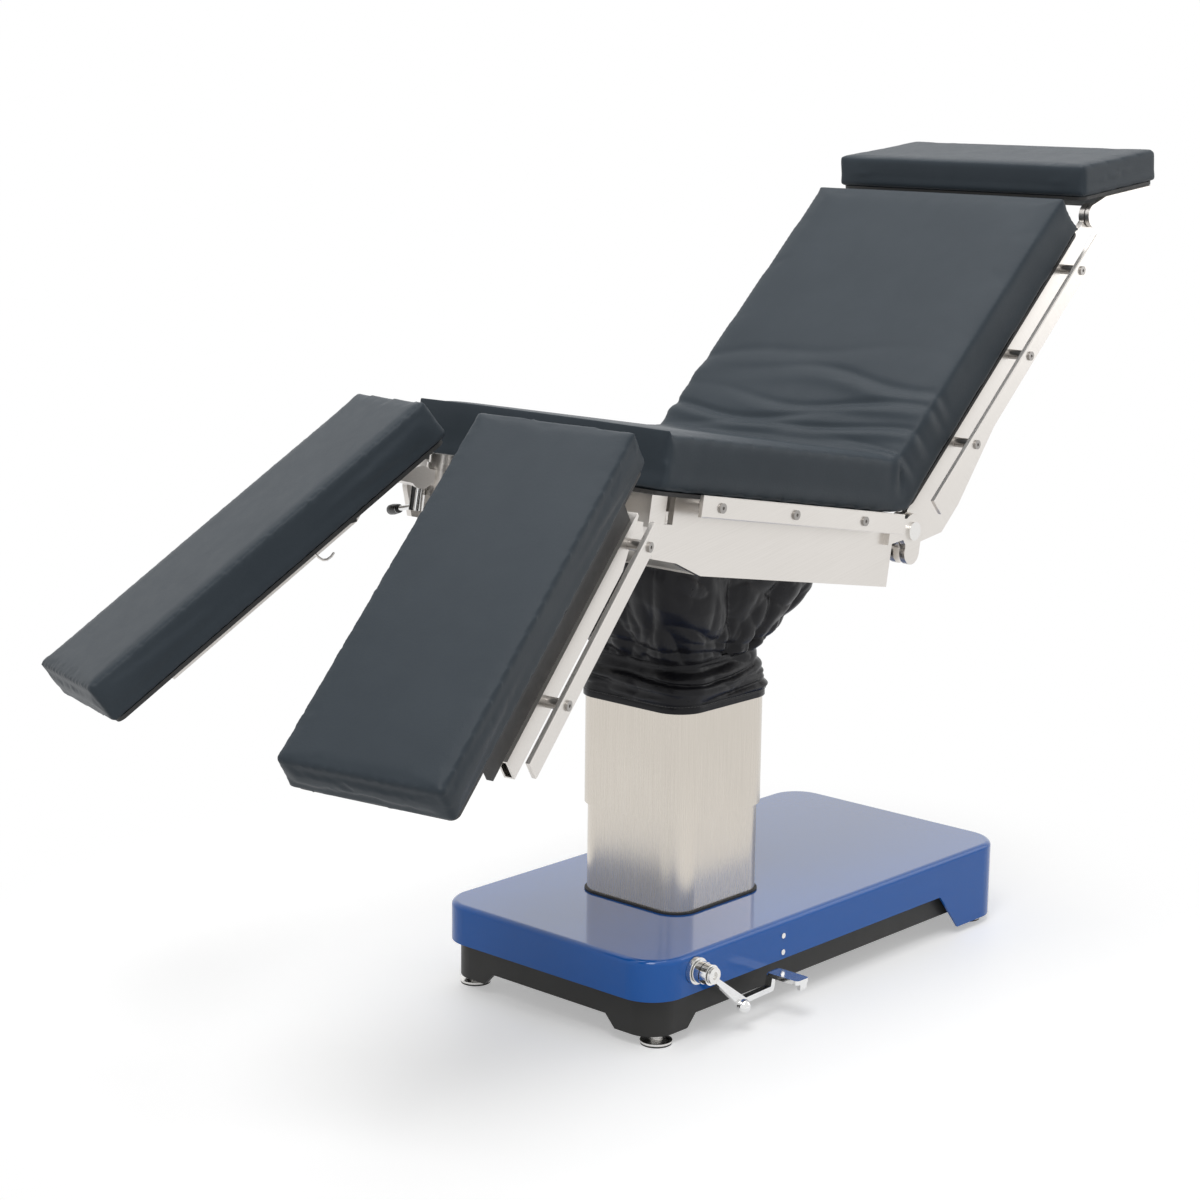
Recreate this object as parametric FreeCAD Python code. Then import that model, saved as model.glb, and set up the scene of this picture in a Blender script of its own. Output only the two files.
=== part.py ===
import FreeCAD
import Part
import math
import os

# An operating table on a box base: a telescopic column, a two-axis tilting head, and a top
# in five padded sections (head, back, seat and two leg plates).
# Millimetres and degrees. +X runs towards the head end, +Y to the far side, +Z up.
# The origin lies on the floor, under the column's centre line.

# Base
base_length = 924.0
base_width = 467.0
base_foot_reach = 304.6
base_corner_radius = 60.0
cover_top = 143.0
cover_wall = 4.0
cover_side_height = 64.5
cover_edge_radius = 9.0
skirt_start = 431.0
skirt_slope_run = 55.0
skirt_low = 13.0
chassis_inset = 15.0
chassis_wall = 8.0
chassis_low = 18.0
deck_thickness = 10.0
arch_rise = 20.0
arch_margin = 78.0
foot_inset_x = 50.0
foot_inset_y = 40.0
foot_disc_radius = 25.0
foot_pad_height = 3.0
foot_disc_height = 9.0
spindle_radius = 10.0
spindle_length = 52.0
boss_radius = 20.0

# Castor carriage, drawn up at rest so that the table stands on its four feet
castor_travel = 16.0
castor_floor_gap = 3.0
castor_wheel_radius = 36.0
castor_wheel_width = 28.0
castor_trail = 22.0
castor_inset_x = 136.0
castor_inset_y = 98.0
fork_plate = 6.0
fork_ear = 5.0
fork_gap = 2.0
fork_top_gap = 1.0
kingpin_radius = 7.0
axle_radius = 5.0
carriage_bar_width = 44.0
carriage_bar_height = 20.0
guide_post_radius = 9.0
running_gap = 0.1

# Pedals on the near side of the base
pedal_shaft_x = -214.0
pedal_shaft_z = 116.0
pedal_shaft_radius = 8.0
pedal_boss_radius = 21.0
pedal_boss_out = 8.0
pedal_hub_radius = 17.0
pedal_hub_width = 12.0
pedal_gap = 1.0
brake_lever_drop = 70.0
brake_lever_run = 98.0
brake_lever_flat = 66.0
brake_step = 18.0
foot_plate_length = 62.0
foot_plate_width = 30.0
foot_plate_lip = 10.0
release_drop = 70.0
release_run = 78.0
release_ball_radius = 11.0
lever_thickness = 9.0

# Column
column_length = 217.5
column_width = 216.0
column_corner_radius = 40.0
sleeve_wall = 2.5
sleeve_gap = 2.9
upper_sleeve_low = 291.0
upper_sleeve_height = 187.0
lift_up = 100.0
lift_down = 60.0
seal_width = 4.0
seal_height = 7.0
guide_size = 120.0
guide_wall = 6.0
mast_size = 140.0
mast_wall = 8.0
guide_collar_height = 36.0
barrel_radius = 45.0
barrel_wall = 10.0
barrel_low = 25.0
rod_radius = 25.0
head_plate_thickness = 10.0

# Tilting head: a cross with one shaft along X for side tilt and one along Y for head-down tilt
pivot_height = 588.0
seat_tilt = 10.0
cross_half = 28.0
shaft_radius = 15.0
trunnion_inner = 66.0
trunnion_thickness = 18.0
trunnion_radius = 26.0
trunnion_foot = 92.0
saddle_plate = 12.0
saddle_length = 220.0
saddle_width = 196.0
bellows_wall = 3.0
bellows_waist_height = 548.0
bellows_rim_height = 472.0
bellows_waist_half = 106.0
bellows_top_half_x = 196.0
bellows_top_half_y = 150.0

# Table top: all sections share one width, one side rail and one way of building
pad_width = 520.0
pad_edge_radius = 6.0
pad_corner_radius = 8.0
board_margin = 6.0
board_thickness = 6.0
frame_inset = 8.0
side_plate = 10.0
rail_height = 32.0
rail_thickness = 9.0
rail_standoff = 29.0
rail_drop = 2.0
standoff_radius = 8.0
rail_bolt_radius = 4.0
rail_bolt_head_radius = 7.5
rail_bolt_head = 3.0
tube_wall = 3.0

# Seat section, measured from the tilt pivot: along the seat, and above the pivot
seat_foot_end = -380.0
seat_top = 298.0
seat_pad_bottom = 214.0
seat_frame_bottom = 97.0
seat_pan = 3.0
seat_pan_start = -262.0
seat_foot_rise = 20.0
seat_head_tube = 36.0
seat_head_tube_back = 44.0
seat_plate_foot = -374.0
seat_plate_head = 204.0
seat_tube_width = 34.0
seat_tube_out = 392.0
seat_lug_notch = 18.0
seat_notch_depth = 40.0
seat_rail_start = -322.0
seat_rail_length = 498.0
seat_bolt_first = -280.0
seat_bolt_pitch = 175.0

# Back section, measured from its hinge
back_hinge_u = 242.7
back_hinge_w = 190.0
back_angle = 52.3
back_angle_max = 70.0
back_angle_min = -30.0
back_length = 650.0
back_pad_top = 108.0
back_pad_bottom = 32.0
back_plate_depth = 75.0
back_rail_start = 45.0
back_rail_length = 600.0
back_bolt_first = 181.0
back_bolt_pitch = 196.5
hinge_ear_radius = 28.0
hinge_hub_radius = 30.0
hinge_ear_thickness = 10.0
hinge_lobe_drop = 34.0
hinge_lobe_radius = 20.0
hinge_lug_start = 180.0
hinge_side_gap = 1.0
hinge_pin_radius = 10.0

# Head section, measured from its hinge at the top of the back
head_hinge_gap = 42.0
head_hinge_n = 20.0
head_angle = -36.5
head_angle_max = 5.0
head_angle_min = -85.0
head_start = -30.7
head_length = 238.0
head_pad_top = 88.0
head_pad_bottom = 34.0
head_ear_radius = 20.0
head_pin_radius = 8.0
head_arm_thickness = 8.0

# Leg sections: a swivel post at the foot end of the seat, then a hinge across the leg
swivel_u = -420.5
swivel_y = 141.5
leg_hinge_w = 185.0
leg_hinge_reach = 55.0
near_spread = 15.5
far_spread = 20.6
near_drop = 48.3
far_drop = 45.2
spread_max = 26.0
drop_max = 90.0
post_radius = 12.0
swivel_hub_radius = 22.0
swivel_hub_height = 34.0
bracket_plate = 8.0
post_cap_height = 15.0
barrel_half = 44.0
barrel_outer = 15.0
leg_pin_radius = 9.0
leg_ear_thickness = 10.0
leg_ear_radius = 17.0
leg_width = 254.0
leg_start = -52.0
leg_length = 638.0
leg_pad_top = 111.0
leg_pad_bottom = 47.0
leg_board_start = -40.0
leg_bar_width = 26.0
leg_bar_low = -39.0
leg_bar_top = -2.0
leg_bar_start = 2.0
leg_bar_end = 448.0
leg_bar_depth = 16.0
leg_bar_slant = 82.0
leg_web_inset = 6.0
leg_strip_height = 8.0
leg_strip_inset = 41.0
leg_hook_radius = 1.8
leg_hook_drop = 24.0
leg_hook_run = 23.0
leg_hook_x = -205.0
leg_frame_start = 16.0
leg_frame_end = 480.0
leg_rail_start = 11.0
leg_rail_length = 431.0
leg_rail_top = -5.0
leg_bolt_first = 44.0
leg_bolt_pitch = 286.0
clamp_reach = 35.0
clamp_radius = 11.0
clamp_length = 40.0
clamp_stud_radius = 4.0
clamp_lever_length = 64.0
clamp_rod_radius = 4.0
clamp_grip_radius = 7.0
clamp_grip_length = 30.0
part_gap = 0.3

X = FreeCAD.Vector(1, 0, 0)
Y = FreeCAD.Vector(0, 1, 0)
Z = FreeCAD.Vector(0, 0, 1)


def vec(x, y, z):
    return FreeCAD.Vector(x, y, z)


def block(x0, x1, y0, y1, z0, z1):
    return Part.makeBox(x1 - x0, y1 - y0, z1 - z0, vec(x0, y0, z0))


def rod(radius, start, axis, length):
    return Part.makeCylinder(radius, length, start, axis)


def rod_between(radius, start, end):
    run = end - start
    return Part.makeCylinder(radius, run.Length, start, run)


def rounded_wire(half_x, half_y, radius, height=0.0):
    """One closed rounded rectangle, centred on the Z axis."""
    ax, ay = half_x - radius, half_y - radius
    k = radius * math.sqrt(0.5)
    corners = [(ax, ay, 1, 1), (-ax, ay, -1, 1), (-ax, -ay, -1, -1), (ax, -ay, 1, -1)]
    edges = []
    last = None
    first = None
    for cx, cy, sx, sy in corners:
        side = vec(cx + sx * radius, cy, height)
        cap = vec(cx, cy + sy * radius, height)
        start, end = (side, cap) if sx * sy > 0 else (cap, side)
        middle = vec(cx + sx * k, cy + sy * k, height)
        if last is not None:
            edges.append(Part.makeLine(last, start))
        else:
            first = start
        edges.append(Part.Arc(start, middle, end).toShape())
        last = end
    edges.append(Part.makeLine(last, first))
    return Part.Wire(edges)


def rounded_block(half_x, half_y, radius, z0, z1, x=0.0, y=0.0):
    face = Part.Face(rounded_wire(half_x, half_y, radius, z0))
    solid = face.extrude(vec(0, 0, z1 - z0))
    solid.translate(vec(x, y, 0))
    return solid


def side_profile(points, y0, y1):
    """A closed outline in the X-Z plane, given thickness along Y."""
    outline = [vec(x, y0, z) for x, z in points]
    face = Part.Face(Part.makePolygon(outline + outline[:1]))
    return face.extrude(vec(0, y1 - y0, 0))


def box_tube(x0, x1, y0, y1, z0, z1, along):
    """A hollow rectangular bar that runs along X or Y, open at both ends."""
    outer = block(x0, x1, y0, y1, z0, z1)
    t = tube_wall
    if along == "X":
        inner = block(x0 - t, x1 + t, y0 + t, y1 - t, z0 + t, z1 - t)
    else:
        inner = block(x0 + t, x1 - t, y0 - t, y1 + t, z0 + t, z1 - t)
    return outer.cut(inner)


def join(shapes):
    whole = shapes[0]
    for shape in shapes[1:]:
        whole = whole.fuse(shape)
    return whole.removeSplitter()


def rounded_edges(shape, radius, keep):
    edges = [edge for edge in shape.Edges if keep(edge)]
    return shape.makeFillet(radius, edges)


def mirror_y(shape):
    return shape.mirror(vec(0, 0, 0), Y)


def write(name, shapes):
    solids = []
    for shape in shapes:
        solids.extend(shape.Solids)
    Part.makeCompound(solids).exportStep("parts/" + name + ".step")
    print(name, len(solids), "solids")


# Where each section of the top sits

def placement(origin, axis, angle):
    return FreeCAD.Placement(origin, FreeCAD.Rotation(axis, angle))


seat_place = placement(vec(0, 0, pivot_height), Y, seat_tilt)
back_place = seat_place * placement(vec(back_hinge_u, 0, back_hinge_w), Y, -back_angle)
head_hinge_v = back_length + head_hinge_gap
head_place = back_place * placement(vec(head_hinge_v, 0, head_hinge_n), Y, -head_angle)


def swivel_place(side):
    """side is -1 for the near leg and 1 for the far one; the leg runs along its own -X."""
    spread = near_spread if side < 0 else far_spread
    turned = placement(vec(swivel_u, side * swivel_y, leg_hinge_w), Z, -side * spread)
    return seat_place * turned


def leg_place(side):
    drop = near_drop if side < 0 else far_drop
    return swivel_place(side) * placement(vec(-leg_hinge_reach, 0, 0), Y, -drop)


def placed(shape, place):
    moved = shape.copy()
    moved.Placement = place * moved.Placement
    return moved


# Sizes that several pieces share

base_centre_x = base_length / 2 - base_foot_reach
base_half_x = base_length / 2
base_half_y = base_width / 2
base_foot_x = -base_foot_reach
base_head_x = base_length - base_foot_reach
deck_top = cover_top - cover_wall
deck_low = deck_top - deck_thickness
chassis_half_x = base_half_x - chassis_inset
chassis_half_y = base_half_y - chassis_inset
foot_places = [(base_foot_x + foot_inset_x, -base_half_y + foot_inset_y),
               (base_foot_x + foot_inset_x, base_half_y - foot_inset_y),
               (base_head_x - foot_inset_x, -base_half_y + foot_inset_y),
               (base_head_x - foot_inset_x, base_half_y - foot_inset_y)]
castor_places = [(base_foot_x + castor_inset_x, -base_half_y + castor_inset_y),
                 (base_foot_x + castor_inset_x, base_half_y - castor_inset_y),
                 (base_head_x - castor_inset_x, -base_half_y + castor_inset_y),
                 (base_head_x - castor_inset_x, base_half_y - castor_inset_y)]
axle_height = castor_floor_gap + castor_wheel_radius
fork_plate_low = axle_height + castor_wheel_radius + fork_gap
carriage_low = fork_plate_low + fork_plate + fork_top_gap
carriage_top = carriage_low + carriage_bar_height
upper_sleeve_top = upper_sleeve_low + upper_sleeve_height
sleeve_step = sleeve_wall + sleeve_gap
head_plate_low = upper_sleeve_top - head_plate_thickness
lower_sleeve_top = head_plate_low - lift_down - 2.0
frame_half = pad_width / 2 - frame_inset
board_half = pad_width / 2 - board_margin
rail_inner = frame_half + rail_standoff
rail_outer = rail_inner + rail_thickness
seat_board_bottom = seat_pad_bottom - board_thickness
back_board_bottom = back_pad_bottom - board_thickness
head_board_bottom = head_pad_bottom - board_thickness
leg_board_bottom = leg_pad_bottom - board_thickness
fold_slope = math.tan(math.radians(back_angle_max / 2))
fold_room = 2.0
seat_rail_top = seat_pad_bottom + rail_drop
back_half = frame_half - hinge_side_gap
inner_lug = back_half - side_plate - hinge_side_gap
leg_half = leg_width / 2
leg_bar_outer = leg_half - 7.0
leg_strip_low = leg_board_bottom - leg_strip_height
leg_strip_outer = leg_half - leg_strip_inset
leg_rail_inner = leg_bar_outer + rail_standoff - 7.0


# Base

def base_frame():
    """Cast tray, open underneath, standing between its four corner bosses."""
    outer = rounded_block(chassis_half_x, chassis_half_y, base_corner_radius - chassis_inset,
                          chassis_low, deck_top, base_centre_x)
    inner = rounded_block(chassis_half_x - chassis_wall, chassis_half_y - chassis_wall,
                          base_corner_radius - chassis_inset - chassis_wall,
                          chassis_low - 1, deck_low, base_centre_x)
    tray = outer.cut(inner)
    x0 = base_centre_x - chassis_half_x
    x1 = base_centre_x + chassis_half_x
    rise = chassis_low + arch_rise
    long_arch = side_profile([(x0 + arch_margin, chassis_low - 1), (x1 - arch_margin, chassis_low - 1),
                              (x1 - arch_margin - arch_rise, rise), (x0 + arch_margin + arch_rise, rise)],
                             -chassis_half_y - 1, chassis_half_y + 1)
    tray = tray.cut(long_arch)
    arch_y = chassis_half_y - arch_margin
    end_points = [vec(x0 - 1, -arch_y, chassis_low - 1), vec(x0 - 1, arch_y, chassis_low - 1),
                  vec(x0 - 1, arch_y - arch_rise, rise), vec(x0 - 1, -arch_y + arch_rise, rise)]
    end_arch = Part.Face(Part.makePolygon(end_points + end_points[:1]))
    tray = tray.cut(end_arch.extrude(vec(2 * chassis_half_x + 2, 0, 0)))
    pieces = [tray]
    boss_low = chassis_low + arch_rise / 2
    for x, y in foot_places:
        pieces.append(rod(boss_radius, vec(x, y, boss_low), Z, deck_low - boss_low))
    for x, y in guide_post_places():
        pieces.append(rod(guide_post_radius, vec(x, y, carriage_low - castor_travel - 6), Z,
                          deck_low - carriage_low + castor_travel + 6))
    rib = 6.0
    rib_low = carriage_top + 5.0
    for y in (-column_width / 2 - 20, column_width / 2 + 20 - rib):
        pieces.append(block(x0 + chassis_wall, x1 - chassis_wall, y, y + rib, rib_low, deck_low))
    frame = join(pieces)
    for x, y in foot_places:
        frame = frame.cut(rod(spindle_radius + running_gap, vec(x, y, 0), Z,
                              foot_disc_height + spindle_length + 1))
    frame = frame.cut(rod(barrel_radius + 1, vec(0, 0, 0), Z, cover_top))
    shaft = rod(pedal_shaft_radius + running_gap,
                vec(pedal_shaft_x, -chassis_half_y - 1, pedal_shaft_z), Y, chassis_wall + 2)
    return frame.cut(shaft)


def guide_post_places():
    x0, x1 = castor_places[0][0], castor_places[2][0]
    step = 70.0
    y = castor_places[1][1]
    return [(x0 + step, -y), (x0 + step, y), (x1 - step, -y), (x1 - step, y)]


def base_cover():
    """Painted shell over the tray, with a deeper skirt at the head end."""
    top = rounded_block(base_half_x, base_half_y, base_corner_radius, skirt_low, cover_top,
                        base_centre_x)
    top = rounded_edges(top, cover_edge_radius,
                        lambda e: all(abs(v.Z - cover_top) < 0.01 for v in e.Vertexes))
    hollow = rounded_block(base_half_x - cover_wall, base_half_y - cover_wall,
                           base_corner_radius - cover_wall, skirt_low - 1, deck_top, base_centre_x)
    shell = top.cut(hollow)
    low = cover_top - cover_side_height
    away = base_half_y + 10
    under = side_profile([(base_foot_x - 10, skirt_low - 5), (skirt_start + skirt_slope_run, skirt_low - 5),
                          (skirt_start + skirt_slope_run, skirt_low), (skirt_start, low),
                          (base_foot_x - 10, low)], -away, away)
    shell = shell.cut(under)
    opening = rounded_block(column_length / 2 + seal_width, column_width / 2 + seal_width,
                            column_corner_radius + seal_width, deck_top - 1, cover_top + 1)
    shell = shell.cut(opening)
    hole = rod(pedal_boss_radius + 0.5, vec(pedal_shaft_x, -base_half_y - 5, pedal_shaft_z), Y, 20)
    shell = shell.cut(hole)
    for x, z in cover_screw_places():
        shell = shell.cut(rod(2.6, vec(x, -base_half_y - 1, z), Y, cover_wall + 2))
        shell = shell.cut(rod(2.6, vec(x, base_half_y + 1, z), -Y, cover_wall + 2))
    return shell


def cover_screw_places():
    low = cover_top - cover_side_height
    return [(0.0, low + 39.0), (0.0, low + 12.0)]


def cover_screws():
    """Pan-head screws that hold the shell to the tray, two on each long side."""
    screws = []
    for x, z in cover_screw_places():
        start = vec(x, -base_half_y, z)
        shank = rod(2.5, start, Y, base_half_y - chassis_half_y)
        head = rod(4.5, start, -Y, 2.0)
        screw = join([shank, head])
        screws.append(screw)
        screws.append(mirror_y(screw))
    return screws


def column_seal():
    out = seal_width - 0.1
    outer = rounded_block(column_length / 2 + out, column_width / 2 + out,
                          column_corner_radius + out, deck_top, deck_top + seal_height)
    inner = rounded_block(column_length / 2 + 0.1, column_width / 2 + 0.1,
                          column_corner_radius + 0.1, deck_top - 1, cover_top + seal_height)
    return outer.cut(inner)


def feet():
    """Levelling feet: threaded spindle, steel disc and rubber pad."""
    spindles, discs, pads = [], [], []
    for x, y in foot_places:
        pads.append(rod(foot_disc_radius - 1, vec(x, y, 0), Z, foot_pad_height))
        disc = Part.makeCone(foot_disc_radius, spindle_radius + 4,
                             foot_disc_height - foot_pad_height - 3, vec(x, y, foot_pad_height + 3), Z)
        disc = disc.fuse(rod(foot_disc_radius, vec(x, y, foot_pad_height), Z, 3)).removeSplitter()
        discs.append(disc)
        spindle = rod(spindle_radius, vec(x, y, foot_disc_height), Z, spindle_length)
        spindles.append(spindle)
    return spindles, discs, pads


def castor_carriage():
    """Frame that carries the four castors and slides on the tray's guide posts."""
    x0, x1 = castor_places[0][0], castor_places[2][0]
    y = castor_places[1][1]
    half = carriage_bar_width / 2
    bars = [block(x0 - half, x1 + half, s * y - half, s * y + half, carriage_low, carriage_top)
            for s in (-1, 1)]
    bars += [block(x - half, x + half, -y, y, carriage_low, carriage_top) for x in (x0, x1)]
    frame = join(bars)
    for x, y in castor_places:
        frame = frame.cut(rod(kingpin_radius + running_gap, vec(x, y, carriage_low - 1), Z,
                              carriage_bar_height + 2))
    for x, y in guide_post_places():
        frame = frame.cut(rod(guide_post_radius + running_gap, vec(x, y, carriage_low - 1), Z,
                              carriage_bar_height + 2))
    return frame


def castor_fork(x, y):
    """Swivel plate with its kingpin, two ears and the wheel's axle."""
    half = castor_wheel_width / 2 + fork_gap
    plate = rod(castor_wheel_radius * 0.75, vec(x, y, fork_plate_low), Z, fork_plate)
    pin = rod(kingpin_radius, vec(x, y, fork_plate_low), Z,
              fork_plate + fork_top_gap + carriage_bar_height)
    ears = []
    for s in (-1, 1):
        y0 = y + s * half if s > 0 else y - half - fork_ear
        outline = [(x - 16, fork_plate_low + fork_plate), (x + 20, fork_plate_low + fork_plate),
                   (x + castor_trail + 9, axle_height), (x + castor_trail, axle_height - 9),
                   (x + castor_trail - 10, axle_height)]
        ears.append(side_profile(outline, y0, y0 + fork_ear))
    axle = rod(axle_radius, vec(x + castor_trail, y - half - fork_ear, axle_height), Y,
               2 * half + 2 * fork_ear)
    return join([plate, pin] + ears + [axle])


def castor_wheel(x, y):
    """Wheel with a crowned tread and a dished hub."""
    half = castor_wheel_width / 2
    r = castor_wheel_radius
    bore = axle_radius + running_gap
    points = [(bore, -half), (r * 0.45, -half), (r * 0.52, -half + 5), (r * 0.74, -half + 5),
              (r * 0.8, -half), (r - 3, -half), (r, -half + 5), (r, half - 5), (r - 3, half),
              (r * 0.8, half), (r * 0.74, half - 5), (r * 0.52, half - 5), (r * 0.45, half),
              (bore, half)]
    outline = [vec(a, b, 0) for a, b in points]
    wheel = Part.Face(Part.makePolygon(outline + outline[:1])).revolve(vec(0, 0, 0), Y, 360)
    wheel.translate(vec(x + castor_trail, y, axle_height))
    return Part.makeSolid(wheel.Shells[0]) if not wheel.Solids else wheel.Solids[0]


# Pedals

pedal_face = -base_half_y - pedal_boss_out
brake_hub_near = pedal_face - pedal_gap - pedal_hub_width
release_hub_near = brake_hub_near - pedal_gap - pedal_hub_width
shaft_end = release_hub_near - pedal_gap


def pedal_bracket():
    """Boss on the tray's side with the shaft that both pedals turn on, and its end cap."""
    boss = rod(pedal_boss_radius, vec(pedal_shaft_x, pedal_face, pedal_shaft_z), Y,
               -chassis_half_y - pedal_face)
    shaft = rod(pedal_shaft_radius, vec(pedal_shaft_x, shaft_end, pedal_shaft_z), Y,
                -chassis_half_y + chassis_wall - shaft_end)
    cap = rod(pedal_shaft_radius + 5, vec(pedal_shaft_x, shaft_end, pedal_shaft_z), -Y, 5)
    cap = cap.cut(rod(pedal_shaft_radius - 2, vec(pedal_shaft_x, shaft_end - 2, pedal_shaft_z), -Y, 5))
    return join([boss, shaft]), cap


def lever_bar(points, y0, y1, thickness):
    """A flat bar that follows a bent line in the X-Z plane, with round bends."""
    pieces = []
    for (xa, za), (xb, zb) in zip(points[:-1], points[1:]):
        run = math.hypot(xb - xa, zb - za)
        nx, nz = -(zb - za) / run * thickness / 2, (xb - xa) / run * thickness / 2
        pieces.append(side_profile([(xa + nx, za + nz), (xb + nx, zb + nz),
                                    (xb - nx, zb - nz), (xa - nx, za - nz)], y0, y1))
    for xb, zb in points:
        pieces.append(rod(thickness / 2, vec(xb, y0, zb), Y, y1 - y0))
    return pieces


def brake_pedal():
    """Long bent lever with a foot plate that points away from the base."""
    y0, y1 = brake_hub_near, brake_hub_near + pedal_hub_width
    elbow = (pedal_shaft_x + brake_lever_run, pedal_shaft_z - brake_lever_drop)
    knee = (elbow[0] + brake_lever_flat, elbow[1] + 2)
    top = (knee[0] + 4, knee[1] + brake_step)
    pieces = [rod(pedal_hub_radius, vec(pedal_shaft_x, y0, pedal_shaft_z), Y, pedal_hub_width)]
    pieces += lever_bar([(pedal_shaft_x, pedal_shaft_z), elbow, knee, top], y0, y1, lever_thickness)
    plate = rounded_block(foot_plate_width / 2, foot_plate_length / 2, 6,
                          top[1] - 1, top[1] + 6, top[0] + foot_plate_width / 2 - 5,
                          y1 - foot_plate_length / 2)
    lip_y = y1 - foot_plate_length
    pieces.append(plate)
    pieces.append(block(top[0] + 2, top[0] + foot_plate_width - 12, lip_y, lip_y + 6,
                        top[1] - foot_plate_lip, top[1] + 3))
    pedal = join(pieces)
    bore = rod(pedal_shaft_radius + running_gap, vec(pedal_shaft_x, y0 - 1, pedal_shaft_z), Y,
               pedal_hub_width + 2)
    return pedal.cut(bore)


def release_pedal():
    """Short lever beside the long one, with a ball end."""
    y0, y1 = release_hub_near, release_hub_near + pedal_hub_width
    end = (pedal_shaft_x + release_run, pedal_shaft_z - release_drop)
    pieces = [rod(pedal_hub_radius - 1, vec(pedal_shaft_x, y0, pedal_shaft_z), Y, pedal_hub_width)]
    pieces += lever_bar([(pedal_shaft_x, pedal_shaft_z), end], y0 + 2, y1 - 2, lever_thickness - 1)
    middle = (y0 + y1) / 2
    pieces.append(Part.makeSphere(release_ball_radius, vec(end[0], middle - 6, end[1])))
    pedal = join(pieces)
    bore = rod(pedal_shaft_radius + running_gap, vec(pedal_shaft_x, y0 - 1, pedal_shaft_z), Y,
               pedal_hub_width + 2)
    return pedal.cut(bore)


# Column

def sleeve(half_x, half_y, radius, z0, z1):
    outer = rounded_block(half_x, half_y, radius, z0, z1)
    inner = rounded_block(half_x - sleeve_wall, half_y - sleeve_wall, radius - sleeve_wall,
                          z0 - 1, z1 + 1)
    return outer.cut(inner)


def lower_column_sleeve():
    return sleeve(column_length / 2, column_width / 2, column_corner_radius,
                  deck_top, lower_sleeve_top)


def upper_column_sleeve():
    return sleeve(column_length / 2 + sleeve_step, column_width / 2 + sleeve_step,
                  column_corner_radius + sleeve_step, upper_sleeve_low, upper_sleeve_top)


def guide_tube():
    """Square guide bolted to the deck, with a collar that the mast runs on."""
    top = head_plate_low - lift_down - 8.0
    half = guide_size / 2
    tube = rounded_block(half, half, 8, deck_top, top)
    collar_half = mast_size / 2 - mast_wall - 0.15
    collar = rounded_block(collar_half, collar_half, 8, top - guide_collar_height, top)
    inner = rounded_block(half - guide_wall, half - guide_wall, 4, deck_top - 1, top + 1)
    return join([tube, collar]).cut(inner)


def lift_cylinder_barrel():
    """Hydraulic barrel that hangs through the deck, with its flange and gland."""
    top = head_plate_low - lift_down - 12.0
    gland = 30.0
    barrel = rod(barrel_radius, vec(0, 0, barrel_low), Z, top - barrel_low)
    flange = rod(guide_size / 2 - guide_wall - 2, vec(0, 0, deck_top), Z, 8)
    body = join([barrel, flange])
    body = body.cut(rod(barrel_radius - barrel_wall, vec(0, 0, barrel_low + barrel_wall), Z,
                        top - gland - barrel_low - barrel_wall))
    return body.cut(rod(rod_radius + running_gap, vec(0, 0, barrel_low + barrel_wall), Z, top))


def lift_piston_rod():
    piston_low = barrel_low + barrel_wall + lift_down + 20
    stem = rod(rod_radius, vec(0, 0, piston_low), Z, head_plate_low - piston_low)
    piston = rod(barrel_radius - barrel_wall - running_gap, vec(0, 0, piston_low), Z, 28)
    return join([stem, piston])


def moving_mast():
    """Square tube under the column head that slides over the guide."""
    half = mast_size / 2
    low = deck_top + lift_down + 4
    outer = rounded_block(half, half, 10, low, head_plate_low)
    inner = rounded_block(half - mast_wall, half - mast_wall, 6, low - 1, head_plate_low + 1)
    return outer.cut(inner)


def column_head():
    """Top plate of the column with the two ears of the side-tilt shaft."""
    half_x = column_length / 2 + sleeve_gap - part_gap / 2
    half_y = column_width / 2 + sleeve_gap - part_gap / 2
    plate = rounded_block(half_x, half_y, column_corner_radius + sleeve_gap, head_plate_low,
                          upper_sleeve_top)
    ears = []
    for s in (-1, 1):
        x0 = trunnion_inner if s > 0 else -trunnion_inner - trunnion_thickness
        ears.append(trunnion_ear("X", x0, upper_sleeve_top - 1, pivot_height))
    head = join([plate] + ears)
    bore = rod(shaft_radius + running_gap, vec(-column_length, 0, pivot_height), X, 2 * column_length)
    return head.cut(bore)


def trunnion_ear(along, start, foot_height, axis_height):
    """Tapered bearing ear: wide at its foot, round about the shaft."""
    half = trunnion_foot / 2
    rise = axis_height - foot_height
    lean = math.asin((half - trunnion_radius) / math.hypot(rise, half) * 0.5)
    tx = trunnion_radius * math.cos(lean)
    tz = trunnion_radius * math.sin(lean)
    pts = [(-half, foot_height), (half, foot_height), (tx, axis_height + tz), (-tx, axis_height + tz)]
    web = side_profile(pts, 0, trunnion_thickness)
    eye = rod(trunnion_radius, vec(0, 0, axis_height), Y, trunnion_thickness)
    ear = join([web, eye])
    if along == "X":
        ear.rotate(vec(0, 0, 0), Z, -90)
        ear.translate(vec(start, 0, 0))
    else:
        ear.translate(vec(0, start, 0))
    return ear


def tilt_cross():
    """Forged cross with both tilt shafts."""
    c = cross_half
    centre = block(-c, c, -c, c, pivot_height - c, pivot_height + c)
    centre = centre.makeChamfer(6, centre.Edges)
    reach = trunnion_inner + trunnion_thickness + 2
    shaft_x = rod(shaft_radius, vec(-reach, 0, pivot_height), X, 2 * reach)
    shaft_y = rod(shaft_radius, vec(0, -reach, pivot_height), Y, 2 * reach)
    return join([centre, shaft_x, shaft_y])


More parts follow.
